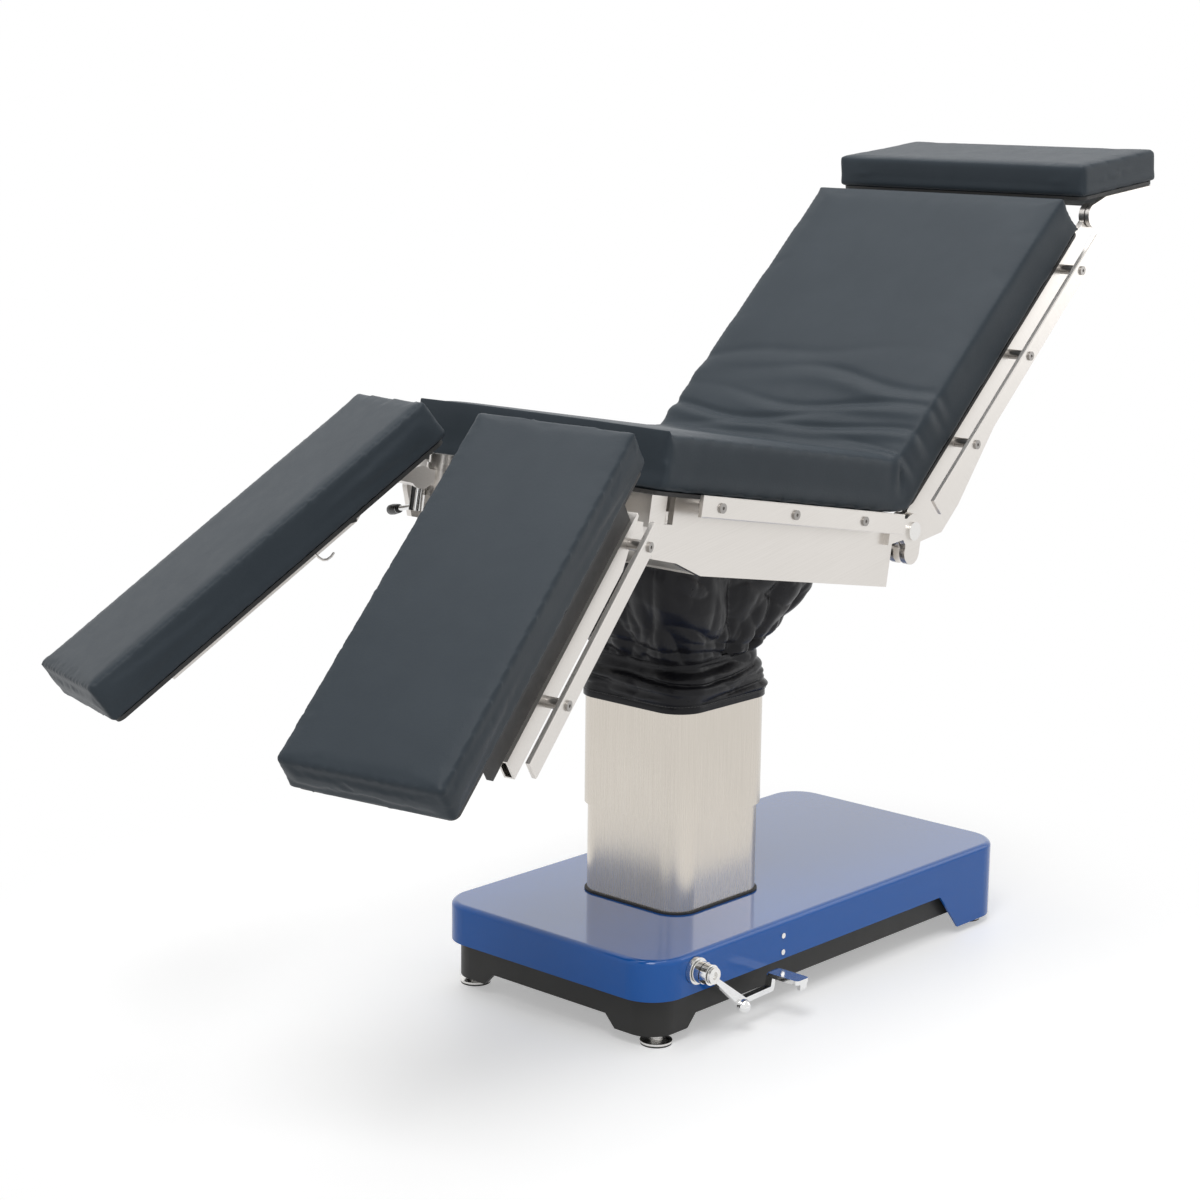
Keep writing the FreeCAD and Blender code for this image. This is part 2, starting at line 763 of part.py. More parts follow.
def saddle():
    """Bracket under the seat frame that hangs on the cross shaft, in the seat's own axes."""
    top = seat_frame_bottom
    plate = block(-saddle_length / 2, saddle_length / 2, -saddle_width / 2, saddle_width / 2,
                  top - saddle_plate, top)
    ears = []
    for s in (-1, 1):
        y0 = trunnion_inner if s > 0 else -trunnion_inner - trunnion_thickness
        ear = trunnion_ear("Y", y0, 0, top - saddle_plate + 1)
        ear.rotate(vec(0, y0, (top - saddle_plate + 1) / 2), Y, 180)
        ears.append(ear)
    body = join([plate] + ears)
    return body.cut(rod(shaft_radius + running_gap, vec(0, -saddle_width, 0), Y, 2 * saddle_width))


# Bellows

def bellows_shell(sections, wall):
    """Closed fabric sleeve through rounded rectangles; each section has a height, two half
    sizes, a corner radius, a tilt and a shift along X."""
    def skin(inset):
        wires = []
        for height, half_x, half_y, radius, tilt, shift in sections:
            wire = rounded_wire(half_x - inset, half_y - inset, radius - inset)
            wire.rotate(vec(0, 0, 0), Y, tilt)
            wire.translate(vec(shift, 0, height))
            wires.append(wire)
        return Part.makeLoft(wires, True, True)
    return skin(0.0).cut(skin(wall))


def lower_bellows():
    """Boot over the top of the column: a rim band and three soft folds up to the waist."""
    rim_x = column_length / 2 + sleeve_step + bellows_wall + part_gap
    rim_y = column_width / 2 + sleeve_step + bellows_wall + part_gap
    r = column_corner_radius + sleeve_step + bellows_wall
    waist = bellows_waist_half
    rise = bellows_waist_height - bellows_rim_height
    folds = [(0.0, 0.0), (0.16, 0.0), (0.28, 0.35), (0.42, 0.05), (0.55, 0.6), (0.7, 0.3),
             (0.86, 0.95), (1.0, 1.0)]
    sections = []
    for part, pinch in folds:
        half_x = rim_x + (waist - rim_x) * pinch
        half_y = rim_y + (waist - rim_y) * pinch
        sections.append((bellows_rim_height + rise * part, half_x, half_y, r, 0.0, 0.0))
    return bellows_shell(sections, bellows_wall)


def upper_bellows():
    """Wide sleeve from the waist to the underside of the seat frame."""
    top_x = (seat_frame_bottom - part_gap) * math.sin(math.radians(seat_tilt))
    top_z = (seat_frame_bottom - part_gap) * math.cos(math.radians(seat_tilt)) + pivot_height
    waist = bellows_waist_half
    r = column_corner_radius + 12
    steps = [(0.0, 0.0), (0.06, 0.13), (0.16, 0.31), (0.33, 0.53), (0.51, 0.69), (0.68, 0.82),
             (0.85, 0.93), (1.0, 1.0)]
    sections = []
    low = bellows_waist_height + 6
    for part, spread in steps:
        half_x = waist + (bellows_top_half_x - waist) * spread
        half_y = waist + (bellows_top_half_y - waist) * spread
        sections.append((low + (top_z - low) * part, half_x, half_y, r, seat_tilt * part,
                         top_x * part))
    return bellows_shell(sections, bellows_wall)


# Table top

def padded_block(x0, x1, half_y, z0, z1, corner, end_cut=None):
    """Cushion: a rounded plan, an optional slanted end, and softened edges all round."""
    body = rounded_block((x1 - x0) / 2, half_y, corner, z0, z1, (x0 + x1) / 2)
    if end_cut is not None:
        body = body.cut(end_cut)
    return body


def rail(x0, length, y0, top, bolts):
    """Flat side rail with a hole for each of its bolts."""
    bar = block(x0, x0 + length, y0, y0 + rail_thickness, top - rail_height, top)
    bar = bar.makeChamfer(1.5, [e for e in bar.Edges if abs(e.Length - rail_thickness) > 0.01])
    for x in bolts:
        bar = bar.cut(rod(rail_bolt_radius + running_gap,
                          vec(x, y0 - 1, top - rail_height / 2), Y, rail_thickness + 2))
    return bar


def rail_bolt(x, y0, z, standoff):
    """Spacer and bolt that hold a rail off its frame; y0 is the frame's face."""
    spacer = rod(standoff_radius, vec(x, y0, z), Y, standoff)
    shank = rod(rail_bolt_radius, vec(x, y0, z), Y, standoff + rail_thickness)
    head = rod(rail_bolt_head_radius, vec(x, y0 + standoff + rail_thickness, z), Y, rail_bolt_head)
    bolt = join([spacer, shank, head])
    socket = rod(2.5, vec(x, y0 + standoff + rail_thickness + 1, z), Y, rail_bolt_head)
    return bolt.cut(socket)


def spread_list(first, pitch, count):
    return [first + pitch * i for i in range(count)]


def seat_frame():
    """Welded tray of the seat: deep side plates, cross tubes, pan, hinge lugs and the two
    brackets that hold the leg swivels."""
    top = seat_board_bottom
    notch_end = -seat_tube_out + seat_tube_width + seat_lug_notch
    lug_x = -seat_tube_out + seat_tube_width
    outline = [(seat_plate_foot, seat_frame_bottom + seat_foot_rise),
               (seat_plate_foot + 54, seat_frame_bottom + seat_foot_rise - 4),
               (seat_pan_start, seat_frame_bottom), (seat_plate_head, seat_frame_bottom),
               (seat_plate_head, top - 4), (seat_plate_head - 4, top),
               (notch_end, top), (notch_end, top - seat_notch_depth), (lug_x, top - seat_notch_depth),
               (lug_x, top), (-seat_tube_out, top), (-seat_tube_out, top - seat_notch_depth - 6)]
    inner = frame_half - side_plate
    plate = side_profile(outline, inner, frame_half)
    outer_lug = hinge_lug(hinge_lug_start, frame_half)
    inner_start = seat_plate_head - seat_head_tube_back + seat_head_tube - 2
    side = join([plate, outer_lug])
    pieces = [side, mirror_y(side)]
    for s in (-1, 1):
        lug = hinge_lug(inner_start, inner_lug - hinge_ear_thickness)
        pieces.append(lug if s > 0 else mirror_y(lug))
    tube_low = top - seat_notch_depth
    pieces.append(box_tube(-seat_tube_out, -seat_tube_out + seat_tube_width, -inner, inner,
                           tube_low, top, "Y"))
    head_tube = seat_plate_head - seat_head_tube_back
    pieces.append(box_tube(head_tube, head_tube + seat_head_tube, -inner, inner, top - 46, top, "Y"))
    pieces.append(block(seat_pan_start + 2, seat_plate_head - 6, -inner, inner,
                        seat_frame_bottom, seat_frame_bottom + seat_pan))
    for s in (-1, 1):
        pieces += swivel_bracket(s * swivel_y)
    return join(pieces)


def hinge_lug(start, y0):
    """Ear of the back hinge: a round eye with a lobe below it and a web to the seat."""
    y1 = y0 + hinge_ear_thickness
    u, w = back_hinge_u, back_hinge_w
    low = w - hinge_lobe_drop
    eye = rod(hinge_ear_radius, vec(u, y0, w), Y, hinge_ear_thickness)
    lobe = rod(hinge_lobe_radius, vec(u + 4, y0, low), Y, hinge_ear_thickness)
    web = side_profile([(start, w + 14), (u - 10, w + 20), (u + 24, w), (u + 24, low),
                        (u - 14, low), (u - 18, w - 14), (start, w - 26)], y0, y1)
    lug = join([eye, lobe, web])
    return lug.cut(rod(hinge_pin_radius + running_gap, vec(u, 0, w), Y, frame_half + 50))


def swivel_bracket(y):
    """Two plates on the foot tube that hold an upright post for the leg's swivel."""
    half = swivel_hub_height / 2
    middle = leg_hinge_w - 3
    pieces = []
    face = -seat_tube_out
    r = swivel_hub_radius + 2
    for z0 in (middle + half, middle - half - bracket_plate):
        arm = block(swivel_u, face + 2, y - r, y + r, z0, z0 + bracket_plate)
        tip = rod(r, vec(swivel_u, y, z0), Z, bracket_plate)
        pieces += [arm, tip]
    low = middle - half - bracket_plate
    pieces.append(rod(post_radius, vec(swivel_u, y, low), Z, swivel_hub_height + 2 * bracket_plate))
    pieces.append(rod(swivel_hub_radius - 1, vec(swivel_u, y, middle + half + bracket_plate - 1), Z,
                      post_cap_height))
    return pieces


def seat_board():
    x1 = back_hinge_u - hinge_hub_radius - 3
    return rounded_block((x1 - seat_foot_end - 2) / 2, board_half, 14, seat_board_bottom,
                         seat_pad_bottom, (x1 + seat_foot_end + 2) / 2)


def seat_pad():
    """Seat cushion; its head end slants so that the back can fold up against it."""
    rise0 = seat_pad_bottom - back_hinge_w
    rise1 = seat_top - back_hinge_w
    x0 = back_hinge_u - rise0 * fold_slope - fold_room
    x1 = back_hinge_u - rise1 * fold_slope - fold_room
    cut = side_profile([(x0, seat_pad_bottom), (x1, seat_top), (x1, seat_top + 5), (x0 + 60, seat_top + 5),
                        (x0 + 60, seat_pad_bottom - 5), (x0, seat_pad_bottom - 5)],
                       -pad_width, pad_width)
    pad = padded_block(seat_foot_end, x0 + 20, pad_width / 2, seat_pad_bottom, seat_top,
                       pad_corner_radius, cut)
    return rounded_edges(pad, pad_edge_radius,
                         lambda e: all(abs(v.Z - seat_top) < 0.01 for v in e.Vertexes))


def hinge_pins():
    """Shoulder pins through the seat's paired lugs and the back's hub between them."""
    x, z = back_hinge_u, back_hinge_w
    start = inner_lug - hinge_ear_thickness - 6
    end = frame_half + hinge_ear_thickness
    pin = rod(hinge_pin_radius, vec(x, start, z), Y, end - start)
    head = rod(hinge_pin_radius + 5, vec(x, end, z), Y, 4)
    ring = rod(hinge_pin_radius + 4, vec(x, start, z), Y, 5)
    pin = join([pin, head, ring])
    return [pin, mirror_y(pin)]


def back_frame():
    """Welded frame of the back: tapering side plates with their hinge hubs, cross tubes and
    the ears for the head section."""
    top = back_board_bottom
    inner = back_half - side_plate
    end = head_hinge_v
    outline = [(top * fold_slope + fold_room, top), (end - 14, top), (end, head_hinge_n + head_ear_radius * 0.6),
               (end, head_hinge_n - head_ear_radius), (end - 60, head_hinge_n - head_ear_radius - 8),
               (back_length * 0.62, -back_plate_depth * 0.4),
               (back_plate_depth * 1.6, -back_plate_depth), (back_plate_depth * 0.8, -back_plate_depth),
               (-hinge_hub_radius * 0.77, -hinge_hub_radius * 0.6)]
    plate = side_profile(outline, inner, back_half)
    hub = rod(hinge_hub_radius, vec(0, inner, 0), Y, side_plate)
    ear = rod(head_ear_radius, vec(end, inner, head_hinge_n), Y, side_plate)
    side = join([plate, hub, ear])
    side = side.cut(rod(hinge_pin_radius + running_gap, vec(0, 0, 0), Y, back_half + 5))
    side = side.cut(rod(head_pin_radius + running_gap, vec(head_hinge_v, 0, head_hinge_n), Y,
                        back_half + 5))
    pieces = [side, mirror_y(side)]
    for x in (back_plate_depth - 5, back_length - 62):
        pieces.append(box_tube(x, x + 34, -inner, inner, top - 30, top, "Y"))
    return join(pieces)


def back_board():
    x0 = (back_pad_bottom) * fold_slope + fold_room
    return rounded_block((back_length - 4 - x0) / 2, board_half, 14, back_board_bottom,
                         back_pad_bottom, (back_length - 4 + x0) / 2)


def back_pad():
    """Back cushion, slanted at its lower end like the seat's."""
    x0 = back_pad_bottom * fold_slope + fold_room
    x1 = back_pad_top * fold_slope + fold_room
    cut = side_profile([(x0, back_pad_bottom), (x1, back_pad_top), (x1, back_pad_top + 5),
                        (x0 - 60, back_pad_top + 5), (x0 - 60, back_pad_bottom - 5),
                        (x0, back_pad_bottom - 5)], -pad_width, pad_width)
    pad = padded_block(x0 - 20, back_length, pad_width / 2, back_pad_bottom, back_pad_top,
                       pad_corner_radius, cut)
    return rounded_edges(pad, pad_edge_radius,
                         lambda e: all(abs(v.Z - back_pad_top) < 0.01 for v in e.Vertexes))


def head_frame():
    """Two arms outside the back's ears, joined by cross tubes under the head plate."""
    top = head_board_bottom
    y0 = frame_half + 1.0
    y1 = y0 + head_arm_thickness
    end = head_start + head_length - 22
    arm = side_profile([(0, head_ear_radius), (36, top), (end, top), (end, top - 22), (60, -10),
                        (0, -head_ear_radius)], y0, y1)
    hub = rod(head_ear_radius, vec(0, y0, 0), Y, head_arm_thickness)
    pin = rod(head_pin_radius, vec(0, back_half - side_plate - 3, 0), Y, y0 + 2 - back_half + side_plate + 3)
    side = join([arm, hub, pin])
    pieces = [side, mirror_y(side)]
    for x in (46, end - 30):
        pieces.append(box_tube(x, x + 26, -y0 - 1, y0 + 1, top - 20, top, "Y"))
    return join(pieces)


def head_board():
    x0 = head_start + 6
    x1 = head_start + head_length - 6
    return rounded_block((x1 - x0) / 2, board_half, 14, head_board_bottom, head_pad_bottom,
                         (x0 + x1) / 2)


def head_pad():
    pad = padded_block(head_start, head_start + head_length, pad_width / 2, head_pad_bottom,
                       head_pad_top, pad_corner_radius)
    return rounded_edges(pad, pad_edge_radius,
                         lambda e: all(abs(v.Z - head_pad_top) < 0.01 for v in e.Vertexes))


# Legs, modelled along -X from the hinge across the leg, with +Z towards the cushion

def leg_swivel():
    """Hub on the upright post, arm and cross barrel, in the swivel's own axes."""
    half = swivel_hub_height / 2 - part_gap
    hub = rod(swivel_hub_radius, vec(0, 0, -3 - half), Z, 2 * half)
    arm = block(-leg_hinge_reach, 0, -14, 14, -12, 12)
    barrel = rod(barrel_outer, vec(-leg_hinge_reach, -barrel_half, 0), Y, 2 * barrel_half)
    body = join([hub, arm, barrel])
    body = body.cut(rod(post_radius + running_gap, vec(0, 0, -60), Z, 120))
    body = body.cut(rod(leg_pin_radius + running_gap,
                        vec(-leg_hinge_reach, -barrel_half - 1, 0), Y, 2 * barrel_half + 2))
    return body.cut(rod(clamp_stud_radius + running_gap, vec(-clamp_reach, 0, -20), Z, 28))


def clamp_lever(side):
    """Clamp screw under the swivel arm, with a side lever and its grip."""
    top = -12 - part_gap
    barrel = rod(clamp_radius, vec(-clamp_reach, 0, top - clamp_length), Z, clamp_length)
    stud = rod(clamp_stud_radius, vec(-clamp_reach, 0, top - 1), Z, 18)
    start = vec(-clamp_reach, 0, top - clamp_length + 7)
    slope = 0.16
    elbow = start + vec(0, side * clamp_lever_length, -clamp_lever_length * slope)
    tip = elbow + vec(0, side * clamp_grip_length, -clamp_grip_length * slope)
    arm = rod_between(clamp_rod_radius, start, elbow + (tip - elbow) * 0.5)
    grip = rod_between(clamp_grip_radius, elbow, tip)
    return join([barrel, stud, arm, grip])


def leg_frame():
    """Outer box bar for the rail on a web that hangs from the leg plate, flat inner strip and
    cross strips under the plate, hook, ears and hinge pin. The outer side is +Y."""
    top = leg_board_bottom
    strip = leg_strip_low
    w = leg_bar_width
    inner = -leg_strip_outer
    box_y = leg_bar_outer - leg_bar_depth
    bar = box_tube(-leg_bar_end, -leg_bar_start, box_y, leg_bar_outer, leg_bar_low, leg_bar_top, "X")
    slant = side_profile([(-leg_bar_start + 1, leg_bar_top - 6), (-leg_bar_start + 1, leg_bar_low - 1),
                          (-leg_bar_slant, leg_bar_low - 1)], box_y - 1, leg_bar_outer + 1)
    pieces = [bar.cut(slant),
              block(-leg_frame_end, -leg_frame_start, box_y, leg_bar_outer - leg_web_inset,
                    leg_bar_top - 1, top),
              block(-leg_frame_end, -leg_frame_start, inner, inner + w, strip, top)]
    for s in (-1, 1):
        ear_y = barrel_half + part_gap if s > 0 else -barrel_half - part_gap - leg_ear_thickness
        eye = rod(leg_ear_radius, vec(0, ear_y, 0), Y, leg_ear_thickness)
        web = side_profile([(0, -leg_ear_radius), (0, leg_ear_radius), (-leg_frame_start - 2, top),
                            (-leg_frame_start - w, top), (-leg_frame_start - w, strip)],
                           ear_y, ear_y + leg_ear_thickness)
        pieces += [eye, web]
    middle = (leg_frame_start + leg_frame_end) / 2
    for x in (leg_frame_start, middle - w / 2, leg_frame_end - w):
        pieces.append(block(-x - w, -x, inner + 1, box_y + 1, strip, top))
    pieces += wire_hook(inner + w * 0.25, strip)
    reach = barrel_half + part_gap + leg_ear_thickness
    pieces.append(rod(leg_pin_radius, vec(0, -reach, 0), Y, 2 * reach))
    return join(pieces)


def wire_hook(y, top):
    """Open hook of round wire: down from the strip, round a bend and along towards the hinge."""
    x, drop, run, r = leg_hook_x, leg_hook_drop, leg_hook_run, leg_hook_radius
    points = [vec(x, y, top + 2), vec(x + run * 0.08, y, top - drop * 0.55),
              vec(x + run * 0.2, y, top - drop * 0.85), vec(x + run * 0.42, y, top - drop),
              vec(x + run * 0.75, y, top - drop * 1.03), vec(x + run, y, top - drop * 0.97)]
    pieces = [rod_between(r, a, b) for a, b in zip(points[:-1], points[1:])]
    return pieces + [Part.makeSphere(r, point) for point in points[1:]]


def leg_board():
    x0 = -leg_start - leg_length + 8
    x1 = -leg_board_start
    return rounded_block((x1 - x0) / 2, leg_half - 5, 12, leg_board_bottom, leg_pad_bottom,
                         (x0 + x1) / 2)


def leg_pad():
    pad = padded_block(-leg_start - leg_length, -leg_start, leg_half, leg_pad_bottom, leg_pad_top,
                       pad_corner_radius - 2)
    return rounded_edges(pad, pad_edge_radius - 1,
                         lambda e: all(abs(v.Z - leg_pad_top) < 0.01 for v in e.Vertexes))


def build_base():
    write("base_frame", [base_frame()])
    write("base_cover", [base_cover()])
    write("cover_screws", cover_screws())
    write("column_seal", [column_seal()])
    spindles, discs, pads = feet()
    write("foot_spindles", spindles)
    write("foot_discs", discs)
    write("foot_pads", pads)
    write("pedal_bracket", list(pedal_bracket()))
    write("brake_pedal", [brake_pedal()])
    write("release_pedal", [release_pedal()])
    write("castor_carriage", [castor_carriage()])
    for number, (x, y) in enumerate(castor_places, 1):
        write("castor_fork_%d" % number, [castor_fork(x, y)])
        write("castor_wheel_%d" % number, [castor_wheel(x, y)])


def build_column():
    write("lower_column_sleeve", [lower_column_sleeve()])
    write("guide_tube", [guide_tube()])
    write("lift_cylinder_barrel", [lift_cylinder_barrel()])
    write("upper_column_sleeve", [upper_column_sleeve()])
    write("column_head", [column_head()])
    write("moving_mast", [moving_mast()])
    write("lift_piston_rod", [lift_piston_rod()])
    write("lower_bellows", [lower_bellows()])
    write("upper_bellows", [upper_bellows()])
    write("tilt_cross", [tilt_cross()])


def build_seat():
    write("saddle", [placed(saddle(), seat_place)])
    write("seat_frame", [placed(seat_frame(), seat_place)])
    write("seat_board", [placed(seat_board(), seat_place)])
    write("seat_pad", [placed(seat_pad(), seat_place)])
    write("hinge_pins", [placed(pin, seat_place) for pin in hinge_pins()])
    bolts = spread_list(seat_bolt_first, seat_bolt_pitch, 3)
    top = seat_rail_top
    far = rail(seat_rail_start, seat_rail_length, rail_inner, top, bolts)
    write("seat_rail_far", [placed(far, seat_place)])
    write("seat_rail_near", [placed(mirror_y(far), seat_place)])
    fixings = [rail_bolt(x, frame_half, top - rail_height / 2, rail_standoff) for x in bolts]
    fixings += [mirror_y(bolt) for bolt in fixings]
    write("seat_rail_bolts", [placed(bolt, seat_place) for bolt in fixings])


def build_back():
    write("back_frame", [placed(back_frame(), back_place)])
    write("back_board", [placed(back_board(), back_place)])
    write("back_pad", [placed(back_pad(), back_place)])
    bolts = spread_list(back_bolt_first, back_bolt_pitch, 3)
    top = seat_rail_top - back_hinge_w
    far = rail(back_rail_start, back_rail_length, rail_inner, top, bolts)
    write("back_rail_far", [placed(far, back_place)])
    write("back_rail_near", [placed(mirror_y(far), back_place)])
    fixings = [rail_bolt(x, back_half, top - rail_height / 2, rail_inner - back_half)
               for x in bolts]
    fixings += [mirror_y(bolt) for bolt in fixings]
    write("back_rail_bolts", [placed(bolt, back_place) for bolt in fixings])
    write("head_frame", [placed(head_frame(), head_place)])
    write("head_board", [placed(head_board(), head_place)])
    write("head_pad", [placed(head_pad(), head_place)])


def build_leg(side, name):
    place = leg_place(side)
    write("leg_swivel_" + name, [placed(leg_swivel(), swivel_place(side))])
    write("clamp_lever_" + name, [placed(clamp_lever(side), swivel_place(side))])
    frame = leg_frame() if side > 0 else mirror_y(leg_frame())
    write("leg_frame_" + name, [placed(frame, place)])
    write("leg_board_" + name, [placed(leg_board(), place)])
    write("leg_pad_" + name, [placed(leg_pad(), place)])
    bolts = [-x for x in spread_list(leg_bolt_first, leg_bolt_pitch, 2)]
    bar = rail(-leg_rail_start - leg_rail_length, leg_rail_length, leg_rail_inner,
               leg_rail_top, bolts)
    fixings = [rail_bolt(x, leg_bar_outer, leg_rail_top - rail_height / 2,
                         leg_rail_inner - leg_bar_outer) for x in bolts]
    if side < 0:
        bar = mirror_y(bar)
        fixings = [mirror_y(bolt) for bolt in fixings]
    write("leg_rail_" + name, [placed(bar, place)])
    write("leg_rail_bolts_" + name, [placed(bolt, place) for bolt in fixings])


os.makedirs("parts", exist_ok=True)
build_base()
build_column()
build_seat()
build_back()
build_leg(-1, "near")
build_leg(1, "far")
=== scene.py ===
import math
import bpy
import bmesh
import numpy as np
from mathutils import Matrix, Vector, noise


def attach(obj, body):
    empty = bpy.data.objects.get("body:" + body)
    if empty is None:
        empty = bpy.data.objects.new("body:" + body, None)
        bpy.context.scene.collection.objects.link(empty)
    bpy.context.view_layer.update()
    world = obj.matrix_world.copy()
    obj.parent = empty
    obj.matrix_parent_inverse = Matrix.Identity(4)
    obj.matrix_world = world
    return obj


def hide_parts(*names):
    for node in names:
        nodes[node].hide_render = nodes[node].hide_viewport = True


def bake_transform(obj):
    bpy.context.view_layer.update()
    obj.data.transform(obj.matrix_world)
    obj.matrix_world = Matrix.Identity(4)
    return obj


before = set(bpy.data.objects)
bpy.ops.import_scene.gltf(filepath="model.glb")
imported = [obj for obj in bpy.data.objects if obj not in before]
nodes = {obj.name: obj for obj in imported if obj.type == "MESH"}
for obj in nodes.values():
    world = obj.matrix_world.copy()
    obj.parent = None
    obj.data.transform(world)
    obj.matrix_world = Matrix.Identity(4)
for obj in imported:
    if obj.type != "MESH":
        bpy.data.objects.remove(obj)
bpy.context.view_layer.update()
scene = bpy.context.scene
print("frame loaded:", len(nodes), "nodes")

# the table top's frames: x along each section, z up through its cushion, metres
top = {"pivot": 0.588, "tilt": 10.0, "hinge": (0.2427, 0.190), "backUp": 52.3,
       "headHinge": (0.692, 0.020), "headDown": 36.5, "swivel": (-0.4205, 0.1415, 0.185),
       "reach": 0.055, "spread": (15.5, 20.6), "drop": (48.3, 45.2)}


def turned(place, axis, degrees):
    return Matrix.Translation(place) @ Matrix.Rotation(math.radians(degrees), 4, axis)


seatFrame = turned((0, 0, top["pivot"]), "Y", top["tilt"])
backFrame = seatFrame @ turned((top["hinge"][0], 0, top["hinge"][1]), "Y", -top["backUp"])
headFrame = backFrame @ turned((top["headHinge"][0], 0, top["headHinge"][1]), "Y", top["headDown"])


def swivelFrame(side):
    u, y, w = top["swivel"]
    return seatFrame @ turned((u, side * y, w), "Z", -side * top["spread"][(side + 1) // 2])


def legFrame(side):
    return swivelFrame(side) @ turned((-top["reach"], 0, 0), "Y", -top["drop"][(side + 1) // 2])


# finishes

class Wire:  # one output socket that takes part in sums
    def __init__(self, owner, socket):
        self.owner = owner
        self.socket = socket

    def maths(self, operation, other):
        return self.owner.add("ShaderNodeMath", {"operation": operation}, {0: self, 1: other})

    def __add__(self, other):
        return self.maths("ADD", other)

    def __mul__(self, other):
        return self.maths("MULTIPLY", other)


class Nodes:  # a node tree that grows one node at a time
    def __init__(self, tree):
        self.tree = tree

    def add(self, kind, settings=None, inputs=None, out=0):
        node = self.tree.nodes.new(kind)
        for key, value in (settings or {}).items():
            setattr(node, key, value)
        for key, value in (inputs or {}).items():
            if isinstance(value, Wire):
                self.tree.links.new(value.socket, node.inputs[key])
            else:
                node.inputs[key].default_value = value
        return Wire(self, node.outputs[out])


class Paint(Nodes):  # one finish, built on a Principled shader
    def __init__(self, name, **constants):
        self.material = bpy.data.materials.new(name)
        self.material.use_nodes = True
        super().__init__(self.material.node_tree)
        self.skin = self.tree.nodes["Principled BSDF"]
        for socket, value in constants.items():
            self.skin.inputs[socket.replace("_", " ")].default_value = value

    def feed(self, socket, wire):
        self.tree.links.new(wire.socket, self.skin.inputs[socket])

    def place(self, scale=(1, 1, 1), turn=(0, 0, 0)):
        coords = self.add("ShaderNodeTexCoord", out="Object")
        turnedCoords = self.add("ShaderNodeMapping", {"vector_type": "POINT"},
                                {"Vector": coords, "Rotation": [math.radians(a) for a in turn]})
        return self.add("ShaderNodeMapping", {"vector_type": "POINT"},
                        {"Vector": turnedCoords, "Scale": scale})

    def noise(self, where, scale, detail=3.0, rough=0.5):
        return self.add("ShaderNodeTexNoise", None,
                        {"Vector": where, "Scale": scale, "Detail": detail, "Roughness": rough}, "Fac")

    def between(self, wire, low, high):
        return self.add("ShaderNodeMapRange", None, {"Value": wire, "To Min": low, "To Max": high})

    def shades(self, wire, dark, light):
        return self.add("ShaderNodeMix", {"data_type": "RGBA"},
                        {0: wire, 6: (*dark, 1), 7: (*light, 1)}, 2)

    def relief(self, wire, depth, strength=1.0):
        bump = self.add("ShaderNodeBump", None,
                        {"Height": wire, "Distance": depth, "Strength": strength}, "Normal")
        self.feed("Normal", bump)


# in each finish, cloud, rub and the like are noise scales per metre, and depths are in metres
leather = {"dark": (0.034, 0.044, 0.054), "light": (0.050, 0.062, 0.074), "rough": (0.36, 0.48),
           "specular": 0.14, "cloud": 9.0, "rub": 34.0, "grain": 620.0, "pores": 240.0,
           "grainShare": 0.6, "poreShare": 0.5, "grainDepth": 0.0005}


def leatherette(name):
    paint = Paint(name, Coat_Weight=0.0, Specular_IOR_Level=leather["specular"])
    where = paint.place()
    cloud = paint.noise(where, leather["cloud"], 4.0, 0.6)
    paint.feed("Base Color", paint.shades(cloud, leather["dark"], leather["light"]))
    rub = paint.noise(where, leather["rub"], 5.0, 0.6)
    paint.feed("Roughness", paint.between(rub, *leather["rough"]))
    cells = paint.add("ShaderNodeTexVoronoi", {"feature": "DISTANCE_TO_EDGE"},
                      {"Vector": where, "Scale": leather["grain"]}, "Distance")
    pores = paint.noise(where, leather["pores"], 3.0)
    paint.relief(cells * leather["grainShare"] + pores * leather["poreShare"], leather["grainDepth"], 0.5)
    return paint.material


steel = {"dark": (0.60, 0.57, 0.53), "light": (0.83, 0.80, 0.77), "rough": (0.22, 0.40),
         "streak": 900.0, "along": 7.0, "broad": 3.0, "streakShare": 0.6, "broadShare": 0.4,
         "depth": 0.00012}


def brushedSteel(name, turn=(0, 0, 0), along="X", dark=None, light=None, rough=None):
    paint = Paint(name, Metallic=1.0)
    scales = [steel["streak"]] * 3
    scales["XYZ".index(along)] = steel["along"]
    streaks = paint.noise(paint.place(scales, turn), 1.0, 3.0, 0.65)
    broad = paint.noise(paint.place([steel["broad"]] * 3, turn), 1.0, 3.0)
    mixed = streaks * steel["streakShare"] + broad * steel["broadShare"]
    paint.feed("Base Color", paint.shades(mixed, dark or steel["dark"], light or steel["light"]))
    paint.feed("Roughness", paint.between(mixed, *(rough or steel["rough"])))
    paint.relief(streaks, steel["depth"], 0.35)
    return paint.material


chrome = {"dark": (0.70, 0.70, 0.70), "light": (0.86, 0.86, 0.85), "rough": (0.06, 0.2),
          "cloud": 30.0, "rub": 120.0, "waves": 60.0, "waveDepth": 0.0002}


def chromePlate(name):
    paint = Paint(name, Metallic=1.0)
    where = paint.place()
    paint.feed("Base Color", paint.shades(paint.noise(where, chrome["cloud"]), chrome["dark"],
                                          chrome["light"]))
    paint.feed("Roughness", paint.between(paint.noise(where, chrome["rub"], 4.0), *chrome["rough"]))
    paint.relief(paint.noise(where, chrome["waves"]), chrome["waveDepth"], 0.3)
    return paint.material


lacquer = {"specular": 0.22, "coatRough": 0.08, "fade": 0.006, "cloud": 5.0, "rub": 40.0,
           "peelDepth": 0.0003}


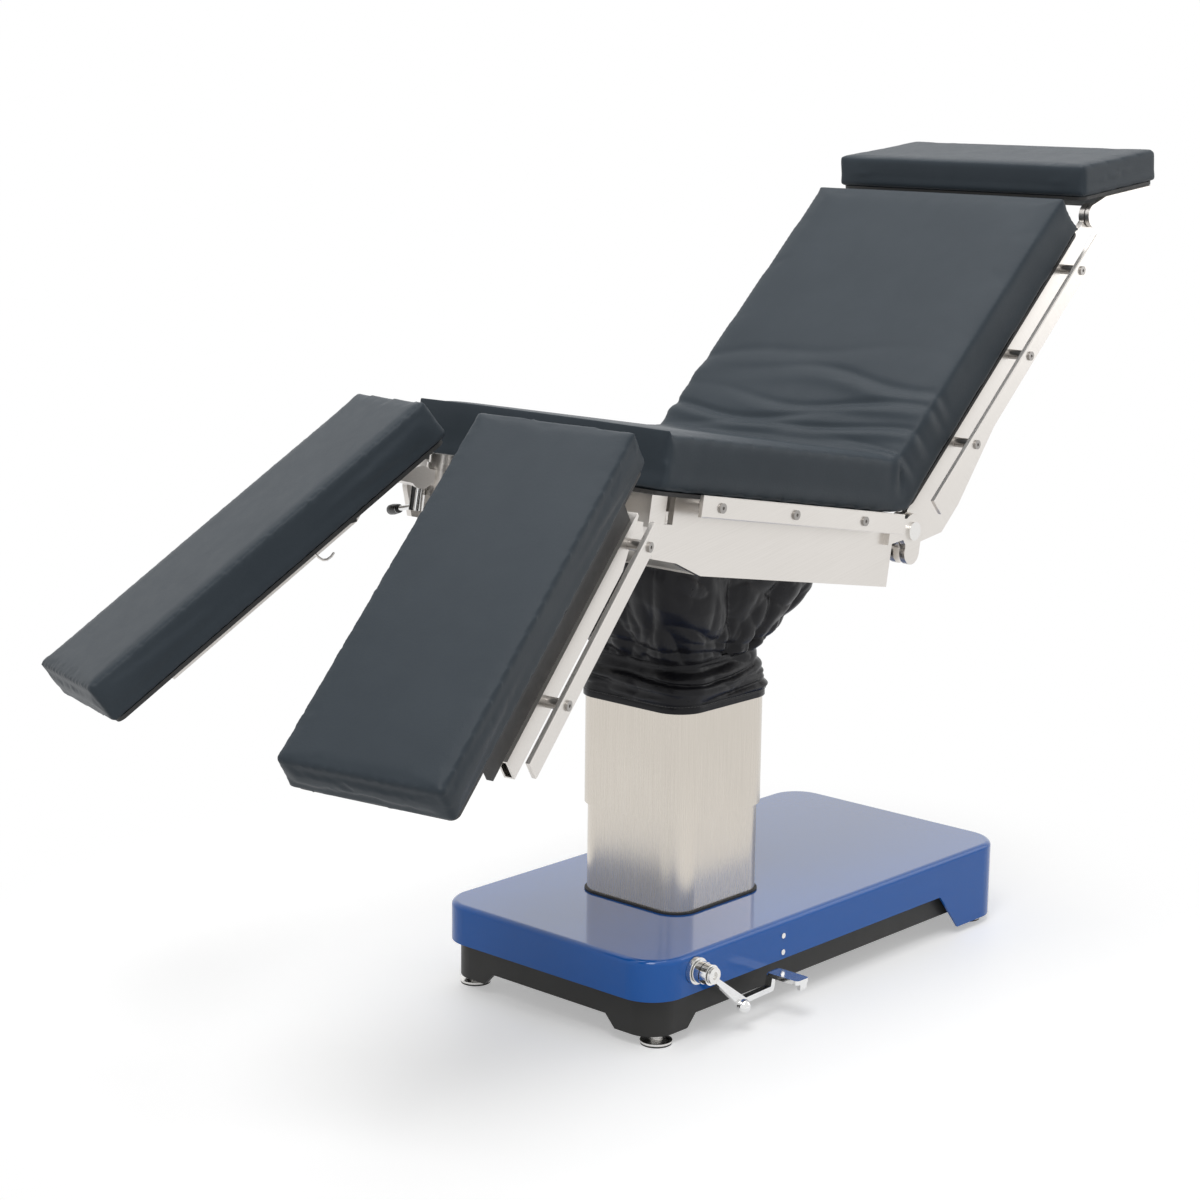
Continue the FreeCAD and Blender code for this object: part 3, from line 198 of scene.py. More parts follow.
# the last argument is the height of a level face that gets a full coat, which fades just below it: a
# painted sheen, so the level top reflects more than the sides do
def enamel(name, dark, light, rough, coat, peel, topSheenHeight=None):
    paint = Paint(name, Coat_Weight=coat, Coat_Roughness=lacquer["coatRough"],
                  Specular_IOR_Level=lacquer["specular"])
    where = paint.place()
    if topSheenHeight:
        # fuller coat on the level top only: painted sheen
        height = paint.add("ShaderNodeSeparateXYZ", None, {"Vector": where}, "Z")
        level = paint.add("ShaderNodeMapRange", None,
                          {"Value": height, "From Min": topSheenHeight - lacquer["fade"], "From Max": topSheenHeight})
        paint.feed("Coat Weight", paint.between(level, coat, 1.0))
    paint.feed("Base Color", paint.shades(paint.noise(where, lacquer["cloud"], 4.0), dark, light))
    paint.feed("Roughness", paint.between(paint.noise(where, lacquer["rub"], 4.0), *rough))
    paint.relief(paint.noise(where, peel, 2.0), lacquer["peelDepth"], 0.25)
    return paint.material


cloth = {"dark": (0.006, 0.006, 0.008), "light": (0.016, 0.016, 0.019), "rough": (0.22, 0.42),
         "specular": 0.2, "cloud": 14.0, "rub": 60.0, "wrinkles": 20.0, "weave": 900.0,
         "weaveShare": 0.04, "depth": 0.004}


def coatedCloth(name):
    paint = Paint(name, Specular_IOR_Level=cloth["specular"])
    where = paint.place()
    paint.feed("Base Color", paint.shades(paint.noise(where, cloth["cloud"], 5.0), cloth["dark"],
                                          cloth["light"]))
    paint.feed("Roughness", paint.between(paint.noise(where, cloth["rub"], 4.0), *cloth["rough"]))
    weave = paint.noise(where, cloth["weave"], 1.0)
    wrinkles = paint.noise(where, cloth["wrinkles"], 4.0, 0.5)
    paint.relief(wrinkles + weave * cloth["weaveShare"], cloth["depth"], 0.5)
    return paint.material


rubber = {"paler": 1.7, "cloud": 25.0, "rub": 80.0, "grain": 500.0, "grainDepth": 0.0003}


def plainRubber(name, shade=0.02, rough=(0.55, 0.75)):
    paint = Paint(name)
    where = paint.place()
    dark, light = (shade,) * 3, (shade * rubber["paler"],) * 3
    paint.feed("Base Color", paint.shades(paint.noise(where, rubber["cloud"], 4.0), dark, light))
    paint.feed("Roughness", paint.between(paint.noise(where, rubber["rub"]), *rough))
    paint.relief(paint.noise(where, rubber["grain"], 3.0), rubber["grainDepth"], 0.4)
    return paint.material


legTilt = -40.0  # both legs share one steel, brushed along about their slope
backTilt = top["tilt"] - top["backUp"]
headTilt = backTilt + top["headDown"]
finish = {
    "cushion": leatherette("cushion cover"),
    "boot": coatedCloth("bellows cloth"),
    "cover": enamel("blue enamel", (0.004, 0.108, 0.44), (0.006, 0.130, 0.52), (0.10, 0.20), 0.2, 260.0,
                    topSheenHeight=0.1425),
    "cast": enamel("dark grey enamel", (0.030, 0.030, 0.029), (0.048, 0.047, 0.044), (0.4, 0.6), 0.1,
                   500.0),
    "columnSteel": brushedSteel("column steel", (0, 0, 0), "Z", (0.50, 0.46, 0.41), (0.77, 0.72, 0.65),
                                (0.20, 0.34)),
    "seatSteel": brushedSteel("seat steel", (0, top["tilt"], 0), "X"),
    "backSteel": brushedSteel("back steel", (0, backTilt, 0), "X"),
    "headSteel": brushedSteel("head steel", (0, headTilt, 0), "X"),
    "legSteel": brushedSteel("leg steel", (0, legTilt, 0), "X"),
    "chrome": chromePlate("chrome"),
    "bright": brushedSteel("bright fittings", (0, 0, 0), "Y", (0.66, 0.65, 0.63), (0.86, 0.85, 0.83),
                           (0.16, 0.3)),
    "bolt": brushedSteel("bolt steel", (0, 0, 0), "Y", (0.24, 0.23, 0.22), (0.44, 0.42, 0.40),
                         (0.22, 0.38)),
    "oiled": enamel("oiled steel", (0.05, 0.05, 0.05), (0.10, 0.10, 0.095), (0.35, 0.55), 0.0, 300.0),
    "rubber": plainRubber("black rubber"),
    "board": plainRubber("dark board", 0.018, (0.45, 0.65)),
    "grip": plainRubber("grip plastic", 0.012, (0.3, 0.45)),
    "thread": plainRubber("hem thread", 0.05, (0.5, 0.7)),
}
dressed = {
    "cover": ["base_cover"],
    "cast": ["base_frame", "castor_carriage"],
    "columnSteel": ["lower_column_sleeve", "upper_column_sleeve"],
    "seatSteel": ["seat_frame", "seat_rail_near", "seat_rail_far", "leg_swivel_near", "leg_swivel_far"],
    "backSteel": ["back_frame", "back_rail_near", "back_rail_far"],
    "headSteel": ["head_frame"],
    "legSteel": ["leg_frame_near", "leg_frame_far", "leg_rail_near", "leg_rail_far"],
    "chrome": ["brake_pedal", "release_pedal", "clamp_lever_near", "clamp_lever_far",
               "castor_fork_1", "castor_fork_2", "castor_fork_3", "castor_fork_4"],
    "bright": ["cover_screws", "foot_spindles", "foot_discs", "pedal_bracket", "hinge_pins",
               "lift_piston_rod", "tilt_cross"],
    "bolt": ["seat_rail_bolts", "back_rail_bolts", "leg_rail_bolts_near", "leg_rail_bolts_far"],
    "oiled": ["guide_tube", "moving_mast", "lift_cylinder_barrel", "column_head", "saddle"],
    "rubber": ["column_seal", "foot_pads", "castor_wheel_1", "castor_wheel_2", "castor_wheel_3",
               "castor_wheel_4"],
    "board": ["seat_board", "back_board", "head_board", "leg_board_near", "leg_board_far"],
}
for look, names in dressed.items():
    for name in names:
        nodes[name].data.materials.clear()
        nodes[name].data.materials.append(finish[look])
# the leg frame's web takes the board's dark finish as painted shade, for the shadow line between cushion
# and bar: the band's height over the leg's plane and its place across
paintedShadeBand = {"low": -0.001, "high": 0.0405, "inner": 0.103, "outer": 0.1145}
for side, end in ((-1, "near"), (1, "far")):
    mesh = nodes["leg_frame_" + end].data
    # the second slot is the board's dark finish, used here as painted shade on the web
    mesh.materials.append(finish["board"])
    flat = legFrame(side).inverted()
    for face in mesh.polygons:
        spot = flat @ face.center
        across = side * spot.y
        if paintedShadeBand["low"] < spot.z < paintedShadeBand["high"] and paintedShadeBand["inner"] < across < paintedShadeBand["outer"]:
            face.material_index = 1
print("finishes made:", len(finish))


def piece(name, mesh, look, smooth=True):
    made = bpy.data.objects.new(name, mesh)
    scene.collection.objects.link(made)
    mesh.materials.clear()
    mesh.materials.append(finish[look])
    if smooth:
        mesh.polygons.foreach_set("use_smooth", [True] * len(mesh.polygons))
    return made


def meshFrom(name, build, place=None):  # build fills an empty bmesh, and place then moves the result
    mesh = bpy.data.meshes.new(name)
    work = bmesh.new()
    build(work)
    if place is not None:
        bmesh.ops.transform(work, matrix=place, verts=work.verts)
    bmesh.ops.recalc_face_normals(work, faces=work.faces)
    work.to_mesh(mesh)
    work.free()
    return mesh


def evaluated(obj):  # the object's mesh as its modifiers leave it
    graph = bpy.context.evaluated_depsgraph_get()
    return bpy.data.meshes.new_from_object(obj.evaluated_get(graph))


def settle(obj):  # modifiers become the object's own mesh
    mesh = evaluated(obj)
    obj.modifiers.clear()
    obj.data = mesh


def points(mesh):
    flat = np.zeros(len(mesh.vertices) * 3)
    mesh.vertices.foreach_get("co", flat)
    return flat.reshape(-1, 3)


def setPoints(mesh, co):
    mesh.vertices.foreach_set("co", co.ravel())
    mesh.update()


# cushions

# heights are over each section's plane; cap and flatCap are the most that a cushion swells
cushion = {"half": 0.260, "voxel": 0.008, "smallVoxel": 0.005, "shy": 0.001, "pressure": 4.0,
           "clothMass": 0.3, "clothSteps": 20, "softFrom": 3.0, "cap": 0.005, "flatCap": 0.0018,
           "edge": 0.007, "lowEdge": 0.004, "bendRadius": 0.045, "bendDeepest": 0.092,
           "seatFoot": -0.380, "seatLow": 0.214, "seatHigh": 0.298, "seatDepth": 0.084,
           "backEnd": 0.650, "backLow": 0.032, "backDepth": 0.076,
           "seatRows": 22, "bendRows": 13, "backRows": 26, "blendHeight": 0.07, "blendHalf": 0.07}
legPad = {"overlap": 0.052, "length": 0.638, "half": 0.127, "low": 0.047, "high": 0.111,
          "corner": 0.006, "edge": 0.004}
headPad = {"start": -0.0307, "length": 0.238, "half": cushion["half"], "low": 0.034, "high": 0.088,
           "corner": 0.008, "edge": 0.005}
shy = cushion["shy"]
tiny = 1e-6


def roundedPad(length, half, low, high, corner, edge):  # from x = 0 to length, with soft corners and rims
    def build(work):
        bmesh.ops.create_cube(work, size=1.0)
        for v in work.verts:
            v.co = Vector(((v.co.x + 0.5) * length, v.co.y * 2 * half, low if v.co.z < 0 else high))
        upright = [e for e in work.edges if abs(e.verts[0].co.z - e.verts[1].co.z) > 0.01]
        bmesh.ops.bevel(work, geom=upright, offset=corner, segments=4, profile=0.5, affect="EDGES")
        for level, size, steps in ((high, edge, 4), (low, cushion["lowEdge"], 2)):
            rim = [e for e in work.edges if all(abs(v.co.z - level) < tiny for v in e.verts)]
            bmesh.ops.bevel(work, geom=rim, offset=size, segments=steps, profile=0.5, affect="EDGES")
    return build


def bendStations():  # cross-sections of the seat and back cushion: foot end, soft bend, head end
    bend = math.radians(top["backUp"])
    hinge = Vector((top["hinge"][0], 0, top["hinge"][1]))
    seatLow, seatHigh = cushion["seatLow"] - hinge.z, cushion["seatHigh"] - hinge.z
    backLow = cushion["backLow"]
    radius = cushion["bendRadius"]
    reach = (radius + seatHigh) * math.tan(bend / 2)
    centre = hinge + Vector((-reach, 0, seatHigh + radius))
    stations = []
    start, end = cushion["seatFoot"] - hinge.x, cushion["backEnd"]
    for x in np.linspace(start + shy, -reach, cushion["seatRows"]):
        spot = hinge + Vector((x, 0, 0))
        stations.append((spot + Vector((0, 0, seatLow)), spot + Vector((0, 0, seatHigh))))
    for part in np.linspace(0, 1, cushion["bendRows"])[1:-1]:
        angle = bend * part
        way = Vector((math.sin(angle), 0, -math.cos(angle)))
        off = abs(angle - bend / 2)
        lowGap = seatLow + (backLow - seatLow) * part
        depth = min((radius + seatHigh - lowGap) / math.cos(bend / 2 - off),
                    radius + cushion["bendDeepest"])
        stations.append((centre + way * depth, centre + way * radius))
    along = Vector((math.cos(bend), 0, math.sin(bend)))
    up = Vector((-math.sin(bend), 0, math.cos(bend)))
    for x in np.linspace(reach, end - shy, cushion["backRows"]):
        spot = hinge + along * x
        stations.append((spot + up * backLow, spot + up * seatHigh))
    return stations


def bentPad(work):
    half = cushion["half"] - shy
    rows = []
    for low, high in bendStations():
        rows.append([work.verts.new((p.x, y, p.z)) for p, y in
                     ((low, -half), (high, -half), (high, half), (low, half))])
    for a, b in zip(rows[:-1], rows[1:]):
        for i in range(4):
            work.faces.new((a[i], a[(i + 1) % 4], b[(i + 1) % 4], b[i]))
    work.faces.new(rows[0])
    work.faces.new(rows[-1][::-1])
    longEdges = [e for e in work.edges if len(e.link_faces) == 2
                 and e.calc_face_angle(0) > 1.2 and abs(e.verts[0].co.y - e.verts[1].co.y) < tiny]
    bmesh.ops.bevel(work, geom=longEdges, offset=cushion["edge"], segments=3, profile=0.5,
                    affect="EDGES", clamp_overlap=True)
    rims = [e for e in work.edges if len(e.link_faces) == 2 and e.calc_face_angle(0) > 1.0]
    bmesh.ops.bevel(work, geom=rims, offset=cushion["edge"] * 0.8, segments=3, profile=0.5,
                    affect="EDGES", clamp_overlap=True)


def padPiece(name, place, start, size):
    build = roundedPad(size["length"] - 2 * shy, size["half"] - shy, size["low"], size["high"] - shy,
                       size["corner"], size["edge"])
    spot = place @ Matrix.Translation((start + shy, 0, 0))
    made = piece(name, meshFrom(name, build, spot), "cushion")
    return {"obj": made, "place": place, "voxel": cushion["smallVoxel"], "cap": cushion["flatCap"],
            "smoothing": 1}


bent = piece("seat_back_cushion", meshFrom("seat_back_cushion", bentPad, seatFrame), "cushion")
pads = {
    "seatAndBack": {"obj": bent, "place": seatFrame, "voxel": cushion["voxel"], "cap": cushion["cap"],
                    "smoothing": 2},
    "head": padPiece("head_cushion", headFrame, headPad["start"], headPad),
}
for side, end in ((-1, "near"), (1, "far")):
    pads[end] = padPiece("leg_cushion_" + end, legFrame(side), legPad["overlap"] - legPad["length"], legPad)


def remeshed(pad):
    mod = pad["obj"].modifiers.new("even", "REMESH")
    mod.mode = "VOXEL"
    mod.voxel_size = pad["voxel"]
    settle(pad["obj"])
    pad["obj"].data.materials.clear()
    pad["obj"].data.materials.append(finish["cushion"])


def depthMask(pad, co):  # 0 on the board, 1 from a third of the height up
    flat = np.array(pad["place"].inverted())
    local = co @ flat[:3, :3].T + flat[:3, 3]
    height = local[:, 2]
    if pad is pads["seatAndBack"]:
        backFlat = np.array(backFrame.inverted())
        backLocal = co @ backFlat[:3, :3].T + backFlat[:3, 3]
        seatPart = (height - cushion["seatLow"]) / cushion["seatDepth"]
        backPart = (backLocal[:, 2] - cushion["backLow"]) / cushion["backDepth"]
        share = np.clip(np.minimum(seatPart, backPart) * cushion["softFrom"], 0, 1)
    else:
        low = height.min()
        share = np.clip((height - low) / (height.max() - low) * cushion["softFrom"], 0, 1)
    return share[:, None]


for pad in pads.values():
    remeshed(pad)
for pad in pads.values():
    mod = pad["obj"].modifiers.new("swell", "CLOTH")
    mod.settings.quality = 4
    mod.settings.mass = cushion["clothMass"]
    mod.settings.use_pressure = True
    mod.settings.uniform_pressure_force = cushion["pressure"]
    mod.settings.effector_weights.gravity = 0.0
    mod.point_cache.frame_start = 1
    mod.point_cache.frame_end = cushion["clothSteps"]
for step in range(1, cushion["clothSteps"] + 1):
    scene.frame_set(step)
for pad in pads.values():
    rest = points(pad["obj"].data)
    moved = points(evaluated(pad["obj"])) - rest
    size = np.linalg.norm(moved, axis=1, keepdims=True) + 1e-9
    moved *= np.minimum(size, pad["cap"]) / size
    pad["obj"].modifiers.clear()
    setPoints(pad["obj"].data, rest + moved * depthMask(pad, rest))
scene.frame_set(1)
print("cushions swelled")
for pad in pads.values():
    smooth = pad["obj"].modifiers.new("even", "SMOOTH")
    smooth.factor = 0.5
    smooth.iterations = pad["smoothing"]
    fine = pad["obj"].modifiers.new("fine", "SUBSURF")
    fine.levels = fine.render_levels = 1
    settle(pad["obj"])
    pad["obj"].data.polygons.foreach_set("use_smooth", [True] * len(pad["obj"].data.polygons))

# folds where the cover creases at the bend: place along the path, width, height, waver, phase
# the path starts at the bend's middle; rounding makes it cornerCut shorter on each side
coverFolds = {"rows": ((-0.040, 0.012, 0.0028, 0.010, 0.3), (-0.012, 0.010, 0.0040, 0.012, 1.7),
                       (0.018, 0.011, 0.0052, 0.010, 2.9), (0.050, 0.013, 0.0056, 0.016, 4.4),
                       (0.085, 0.013, 0.0048, 0.018, 5.1), (0.122, 0.015, 0.0036, 0.020, 0.9),
                       (0.165, 0.018, 0.0022, 0.022, 2.2)),
              "cornerCut": 0.053, "level": 0.045, "fade": 0.05,
              "slowWave": 7.0, "fastWave": 19.0, "fastShare": 0.4, "lean": 0.05,
              "mean": 0.55, "swing": 0.45, "swingWave": 9.0,
              "valleyDepth": 0.8, "valleyPlace": 1.7, "valleyWidth": 0.6}


def foldCover(mesh):
    co = points(mesh)
    normals = np.zeros(len(co) * 3)
    mesh.vertices.foreach_get("normal", normals)
    normals = normals.reshape(-1, 3)
    flat = np.array(seatFrame.inverted())
    local = co @ flat[:3, :3].T + flat[:3, 3]
    bend = math.radians(top["backUp"])
    dx, dz = local[:, 0] - top["hinge"][0], local[:, 2] - top["hinge"][1]
    path = np.where(dx * math.cos(bend / 2) + dz * math.sin(bend / 2) < 0, dx + coverFolds["cornerCut"],
                    dx * math.cos(bend) + dz * math.sin(bend) - coverFolds["cornerCut"])
    height = np.minimum(dz, -dx * math.sin(bend) + dz * math.cos(bend))
    mask = np.clip((height - coverFolds["level"]) / coverFolds["fade"], 0, 1)
    lift = np.zeros(len(co))
    y = local[:, 1]
    for place, width, high, waver, phase in coverFolds["rows"]:
        centre = (place + waver * np.sin(coverFolds["slowWave"] * y + phase)
                  + coverFolds["fastShare"] * waver * np.sin(coverFolds["fastWave"] * y + 2.1 * phase)
                  - coverFolds["lean"] * y)
        share = coverFolds["mean"] + coverFolds["swing"] * np.sin(coverFolds["swingWave"] * y + 3.0 * phase)
        offset = (path - centre) / width
        lift += high * share * np.exp(-offset ** 2)
        valley = (path - centre - coverFolds["valleyPlace"] * width) / (coverFolds["valleyWidth"] * width)
        lift -= coverFolds["valleyDepth"] * high * share * np.exp(-valley ** 2)
    setPoints(mesh, co + normals * (lift * mask)[:, None])


foldCover(pads["seatAndBack"]["obj"].data)
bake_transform(pads["seatAndBack"]["obj"])
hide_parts("seat_pad", "back_pad")
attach(pads["head"]["obj"], "head")
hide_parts("head_pad")
for end in ("near", "far"):
    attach(pads[end]["obj"], "leg_" + end)
    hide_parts("leg_pad_" + end)
print("cushions done")

# bellows

# rim and waist are half widths; a fold is its noise scale round the boot, its scale up, and its seed
boot = {"rim": (0.1177, 0.1170), "rimZ": 0.470, "waist": 0.104, "waistZ": 0.551, "waistOver": 0.008,
        "topHalf": (0.190, 0.144), "topW": 0.0965, "around": 300, "low": 48, "high": 64,
        "corner": 0.0488, "waistCorner": 0.012, "topCorner": 0.052, "wall": 0.0016,
        "pouch": 0.009, "gather": 0.011, "droop": 0.004, "sag": 0.006}
lowFolds = {"pinchFrom": 0.40, "pinchPower": 1.4, "hem": 0.13, "hemWidth": 0.025, "hemDepth": 0.0014,
            "slackOver": 0.10, "wander": 0.25, "smallShare": 0.25,
            "layers": (0.55, 4.6, 0.0), "small": (2.6, 3.4, 9.0)}
highFolds = {"slackOver": 0.08, "tautOver": 0.05, "lowOver": 0.45, "twist": 0.08,
             "gathers": (1.9, 0.9, 0.0), "narrow": (4.2, 1.5, 3.0), "slant": (2.3, 2.6, 7.0),
             "folds": (0.9, 5.0, 11.0), "narrowShare": 0.3, "slantShare": 0.7, "foldShare": 1.1}
# how far the upper boot has widened at each share of its height, from the waist to the seat
fullness = {"part": (0.0, 0.06, 0.16, 0.33, 0.51, 0.68, 0.85, 1.0),
            "spread": (0.0, 0.09, 0.22, 0.42, 0.61, 0.78, 0.92, 1.0)}


# a point on a rounded rectangle, by share of its way round, and its outward direction
def roundedPoint(part, halfX, halfY, corner):
    flats = (halfY - corner, 2 * (halfX - corner), 2 * (halfY - corner), 2 * (halfX - corner),
             halfY - corner)
    arc = corner * math.pi / 2
    left = (part % 1.0) * (sum(flats) + 4 * arc)
    spot, angle = Vector((halfX, 0, 0)), 0.0
    for flat in flats:
        step = min(left, flat)
        spot += Vector((-math.sin(angle), math.cos(angle), 0)) * step
        left -= step
        turn = min(left, arc) / corner
        spot += corner * Vector((math.cos(angle + turn) - math.cos(angle),
                                 math.sin(angle + turn) - math.sin(angle), 0))
        angle += turn
        left -= turn * corner
        if left <= 1e-9:
            break
    return spot, Vector((math.cos(angle), math.sin(angle), 0))


def ringMesh(name, rows, around):
    mesh = bpy.data.meshes.new(name)
    verts = [v for row in rows for v in row]
    faces = []
    for r in range(len(rows) - 1):
        for i in range(around):
            j = (i + 1) % around
            faces.append((r * around + i, r * around + j, (r + 1) * around + j, (r + 1) * around + i))
    mesh.from_pydata(verts, [], faces)
    return mesh


def around(share, scale):  # two numbers that run smoothly round the boot
    return scale * math.cos(share * 2 * math.pi), scale * math.sin(share * 2 * math.pi)


def crease(share, height, fold):  # 0 along sharp valleys, up to 1 on the cloth between them
    times, rise, seed = fold
    spot = Vector((*around(share, times), height * rise + seed))
    return min(1.0, abs(noise.noise(spot)) * 2.2) ** 0.75


def lowerBoot():
    rows = []
    count = boot["low"]
    for r in range(count + 1):
        part = r / count
        z = boot["rimZ"] + (boot["waistZ"] - boot["rimZ"]) * part
        over = max(0.0, (part - lowFolds["pinchFrom"]) / (1 - lowFolds["pinchFrom"]))
        pinch = over ** lowFolds["pinchPower"]
        slack = min(1.0, max(0.0, (part - lowFolds["hem"]) / lowFolds["slackOver"]))
        hemDip = -lowFolds["hemDepth"] * math.exp(-((part - lowFolds["hem"]) / lowFolds["hemWidth"]) ** 2)
        halfX = boot["rim"][0] + (boot["waist"] - boot["rim"][0]) * pinch
        halfY = boot["rim"][1] + (boot["waist"] - boot["rim"][1]) * pinch
        corner = boot["corner"] + boot["waistCorner"] * pinch
        row = []
        for i in range(boot["around"]):
            share = i / boot["around"]
            spot, way = roundedPoint(share, halfX, halfY, corner)
            wander = 0.5 * noise.noise(Vector((*around(share, 0.9), 4.0)))
            layers = crease(share, part + lowFolds["wander"] * wander, lowFolds["layers"])
            small = crease(share, part, lowFolds["small"])
            push = slack * (boot["pouch"] * (layers - 0.5)
                            + lowFolds["smallShare"] * boot["pouch"] * (small - 0.5)) + hemDip
            spot = spot + way * push
            drop = slack * (1 - part) * boot["droop"] * noise.noise(Vector((*around(share, 3.0), 2.0)))
            row.append((spot.x, spot.y, z + drop))
        rows.append(row)
    return rows


def upperBoot():
    rows = []
    count = boot["high"]
    start = boot["waistZ"] - boot["waistOver"]
    topCentre = seatFrame @ Vector((0, 0, boot["topW"]))
    for r in range(count + 1):
        part = r / count
        spread = float(np.interp(part, fullness["part"], fullness["spread"]))
        slack = (min(1.0, part / highFolds["slackOver"])
                 * min(1.0, (1.0 - part) / highFolds["tautOver"] + 0.15))
        low = max(0.0, 1.0 - part / highFolds["lowOver"])
        base = Vector((0, 0, start)).lerp(topCentre, part)
        turn = Matrix.Rotation(math.radians(top["tilt"]) * part, 3, "Y")
        halfX = boot["waist"] + 0.001 + (boot["topHalf"][0] - boot["waist"]) * spread
        halfY = boot["waist"] + 0.001 + (boot["topHalf"][1] - boot["waist"]) * spread
        row = []
        for i in range(boot["around"]):
            share = i / boot["around"]
            spot, way = roundedPoint(share, halfX, halfY, boot["topCorner"])
            gathers = crease(share, part, highFolds["gathers"])
            narrow = crease(share, part, highFolds["narrow"])
            slant = crease(share + highFolds["twist"] * part, part, highFolds["slant"])
            folds = crease(share, part, highFolds["folds"])
            push = slack * (boot["gather"] * (gathers - 0.5)
                            + highFolds["narrowShare"] * boot["gather"] * (narrow - 0.5)
                            + highFolds["slantShare"] * boot["gather"] * (slant - 0.5)
                            + highFolds["foldShare"] * boot["pouch"] * low * (folds - 0.5))
            spot = base + turn @ (spot + way * (push - 0.002 * slack))
            sag = slack * boot["sag"] * noise.noise(Vector((*around(share, 2.2), part * 3.0)))
            row.append((spot.x, spot.y, spot.z + sag))
        rows.append(row)
    return rows


def makeBoot(name, rows, node):
    made = piece(name, ringMesh(name, rows, boot["around"]), "boot")
    wall = made.modifiers.new("wall", "SOLIDIFY")
    wall.thickness = boot["wall"]
    wall.offset = -1.0
    settle(made)
    made.data.polygons.foreach_set("use_smooth", [True] * len(made.data.polygons))
    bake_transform(made)
    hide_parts(node)


makeBoot("bellows_low", lowerBoot(),
         "lower_bellows")
makeBoot("bellows_high", upperBoot(),
         "upper_bellows")
print("bellows done")

# fittings


def lathe(profile, start, way, steps=28):  # a solid of revolution: pairs of distance and radius from start
    def build(work):
        rings = []
        for distance, radius in profile:
            if radius == 0.0:
                rings.append([work.verts.new((0, 0, distance))])
            else:
                rings.append([work.verts.new((radius * math.cos(2 * math.pi * i / steps),
                                              radius * math.sin(2 * math.pi * i / steps), distance))
                              for i in range(steps)])
        for a, b in zip(rings[:-1], rings[1:]):
            for i in range(steps):
                corners = [a[i % len(a)], a[(i + 1) % len(a)], b[(i + 1) % len(b)], b[i % len(b)]]
                kept = [v for k, v in enumerate(corners) if v not in corners[:k]]
                work.faces.new(kept)
    place = Matrix.Translation(start) @ Vector(way).to_track_quat("Z", "Y").to_matrix().to_4x4()
    return build, place


# the grip's place in the swivel's frame, and its lengths along the lever
clamp = {"reach": 0.035, "low": -0.0453, "lever": 0.064, "grip": 0.030, "slope": 0.16, "radius": 0.0078,
         "over": 0.003, "past": 0.006}
for side, end in ((-1, "near"), (1, "far")):
    along = Vector((0, side, -clamp["slope"]))
    start = Vector((-clamp["reach"], 0, clamp["low"])) + along * (clamp["lever"] - clamp["over"])
    length = along.length * clamp["grip"] + clamp["past"]
    r = clamp["radius"]
    outline = [(0.0, 0.0), (0.0, r * 0.72), (0.0012, r * 0.86), (0.005, r * 0.92),
               (length * 0.55, r * 1.06), (length - 0.005, r), (length - 0.0014, r * 0.74),
               (length, r * 0.3), (length, 0.0)]
    frameHere = swivelFrame(side)
    build, place = lathe(outline, frameHere @ start, frameHere.to_3x3() @ along)
    grip = piece("clamp_grip_" + end, meshFrom("clamp_grip_" + end, build, place), "grip")
    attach(grip, "clamp_lever_" + end)

knob = {"place": (0.523, -0.236, -0.012), "way": (0, 0, -1), "radius": 0.011}
r = knob["radius"]
outline = [(0.0, 0.0), (0.0, 0.004), (0.008, 0.004), (0.008, r * 0.8), (0.010, r), (0.018, r * 1.05),
           (0.021, r * 0.8), (0.022, 0.0)]
build, place = lathe(outline, backFrame @ Vector(knob["place"]),
                     backFrame.to_3x3() @ Vector(knob["way"]), 20)
lockKnob = piece("back_lock_knob", meshFrom("back_lock_knob", build, place), "grip")
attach(lockKnob, "back")


class Repeat(Nodes):  # a Geometry Nodes tree with named inputs; run turns its result into a plain mesh
    kinds = {float: "NodeSocketFloat", int: "NodeSocketInt"}

    def __init__(self, name, sizes):
        super().__init__(bpy.data.node_groups.new(name, "GeometryNodeTree"))
        face = self.tree.interface
        face.new_socket("Geometry", in_out="INPUT", socket_type="NodeSocketGeometry")
        face.new_socket("Geometry", in_out="OUTPUT", socket_type="NodeSocketGeometry")
        self.sizes = sizes
        self.keys = {}
        for label, value in sizes.items():
            socket = face.new_socket(label, in_out="INPUT", socket_type=self.kinds[type(value)])
            self.keys[label] = socket.identifier
        self.inlet = self.tree.nodes.new("NodeGroupInput")
        self.outlet = self.tree.nodes.new("NodeGroupOutput")

    def size(self, label):
        return Wire(self, self.inlet.outputs[label])

    def source(self):
        return Wire(self, self.inlet.outputs["Geometry"])

    def close(self, made, look):
        real = self.add("GeometryNodeRealizeInstances", None, {0: made})
        dressedUp = self.add("GeometryNodeSetMaterial", None, {0: real, "Material": finish[look]})
        self.tree.links.new(dressedUp.socket, self.outlet.inputs[0])

    def run(self, name, mesh, look):
        obj = piece(name, mesh, look, False)
        mod = obj.modifiers.new(name, "NODES")
        mod.node_group = self.tree
        for label, key in self.keys.items():
            mod[key] = self.sizes[label]
        settle(obj)
        obj.data.materials.clear()
        obj.data.materials.append(finish[look])
        obj.data.polygons.foreach_set("use_smooth", [True] * len(obj.data.polygons))
        return obj


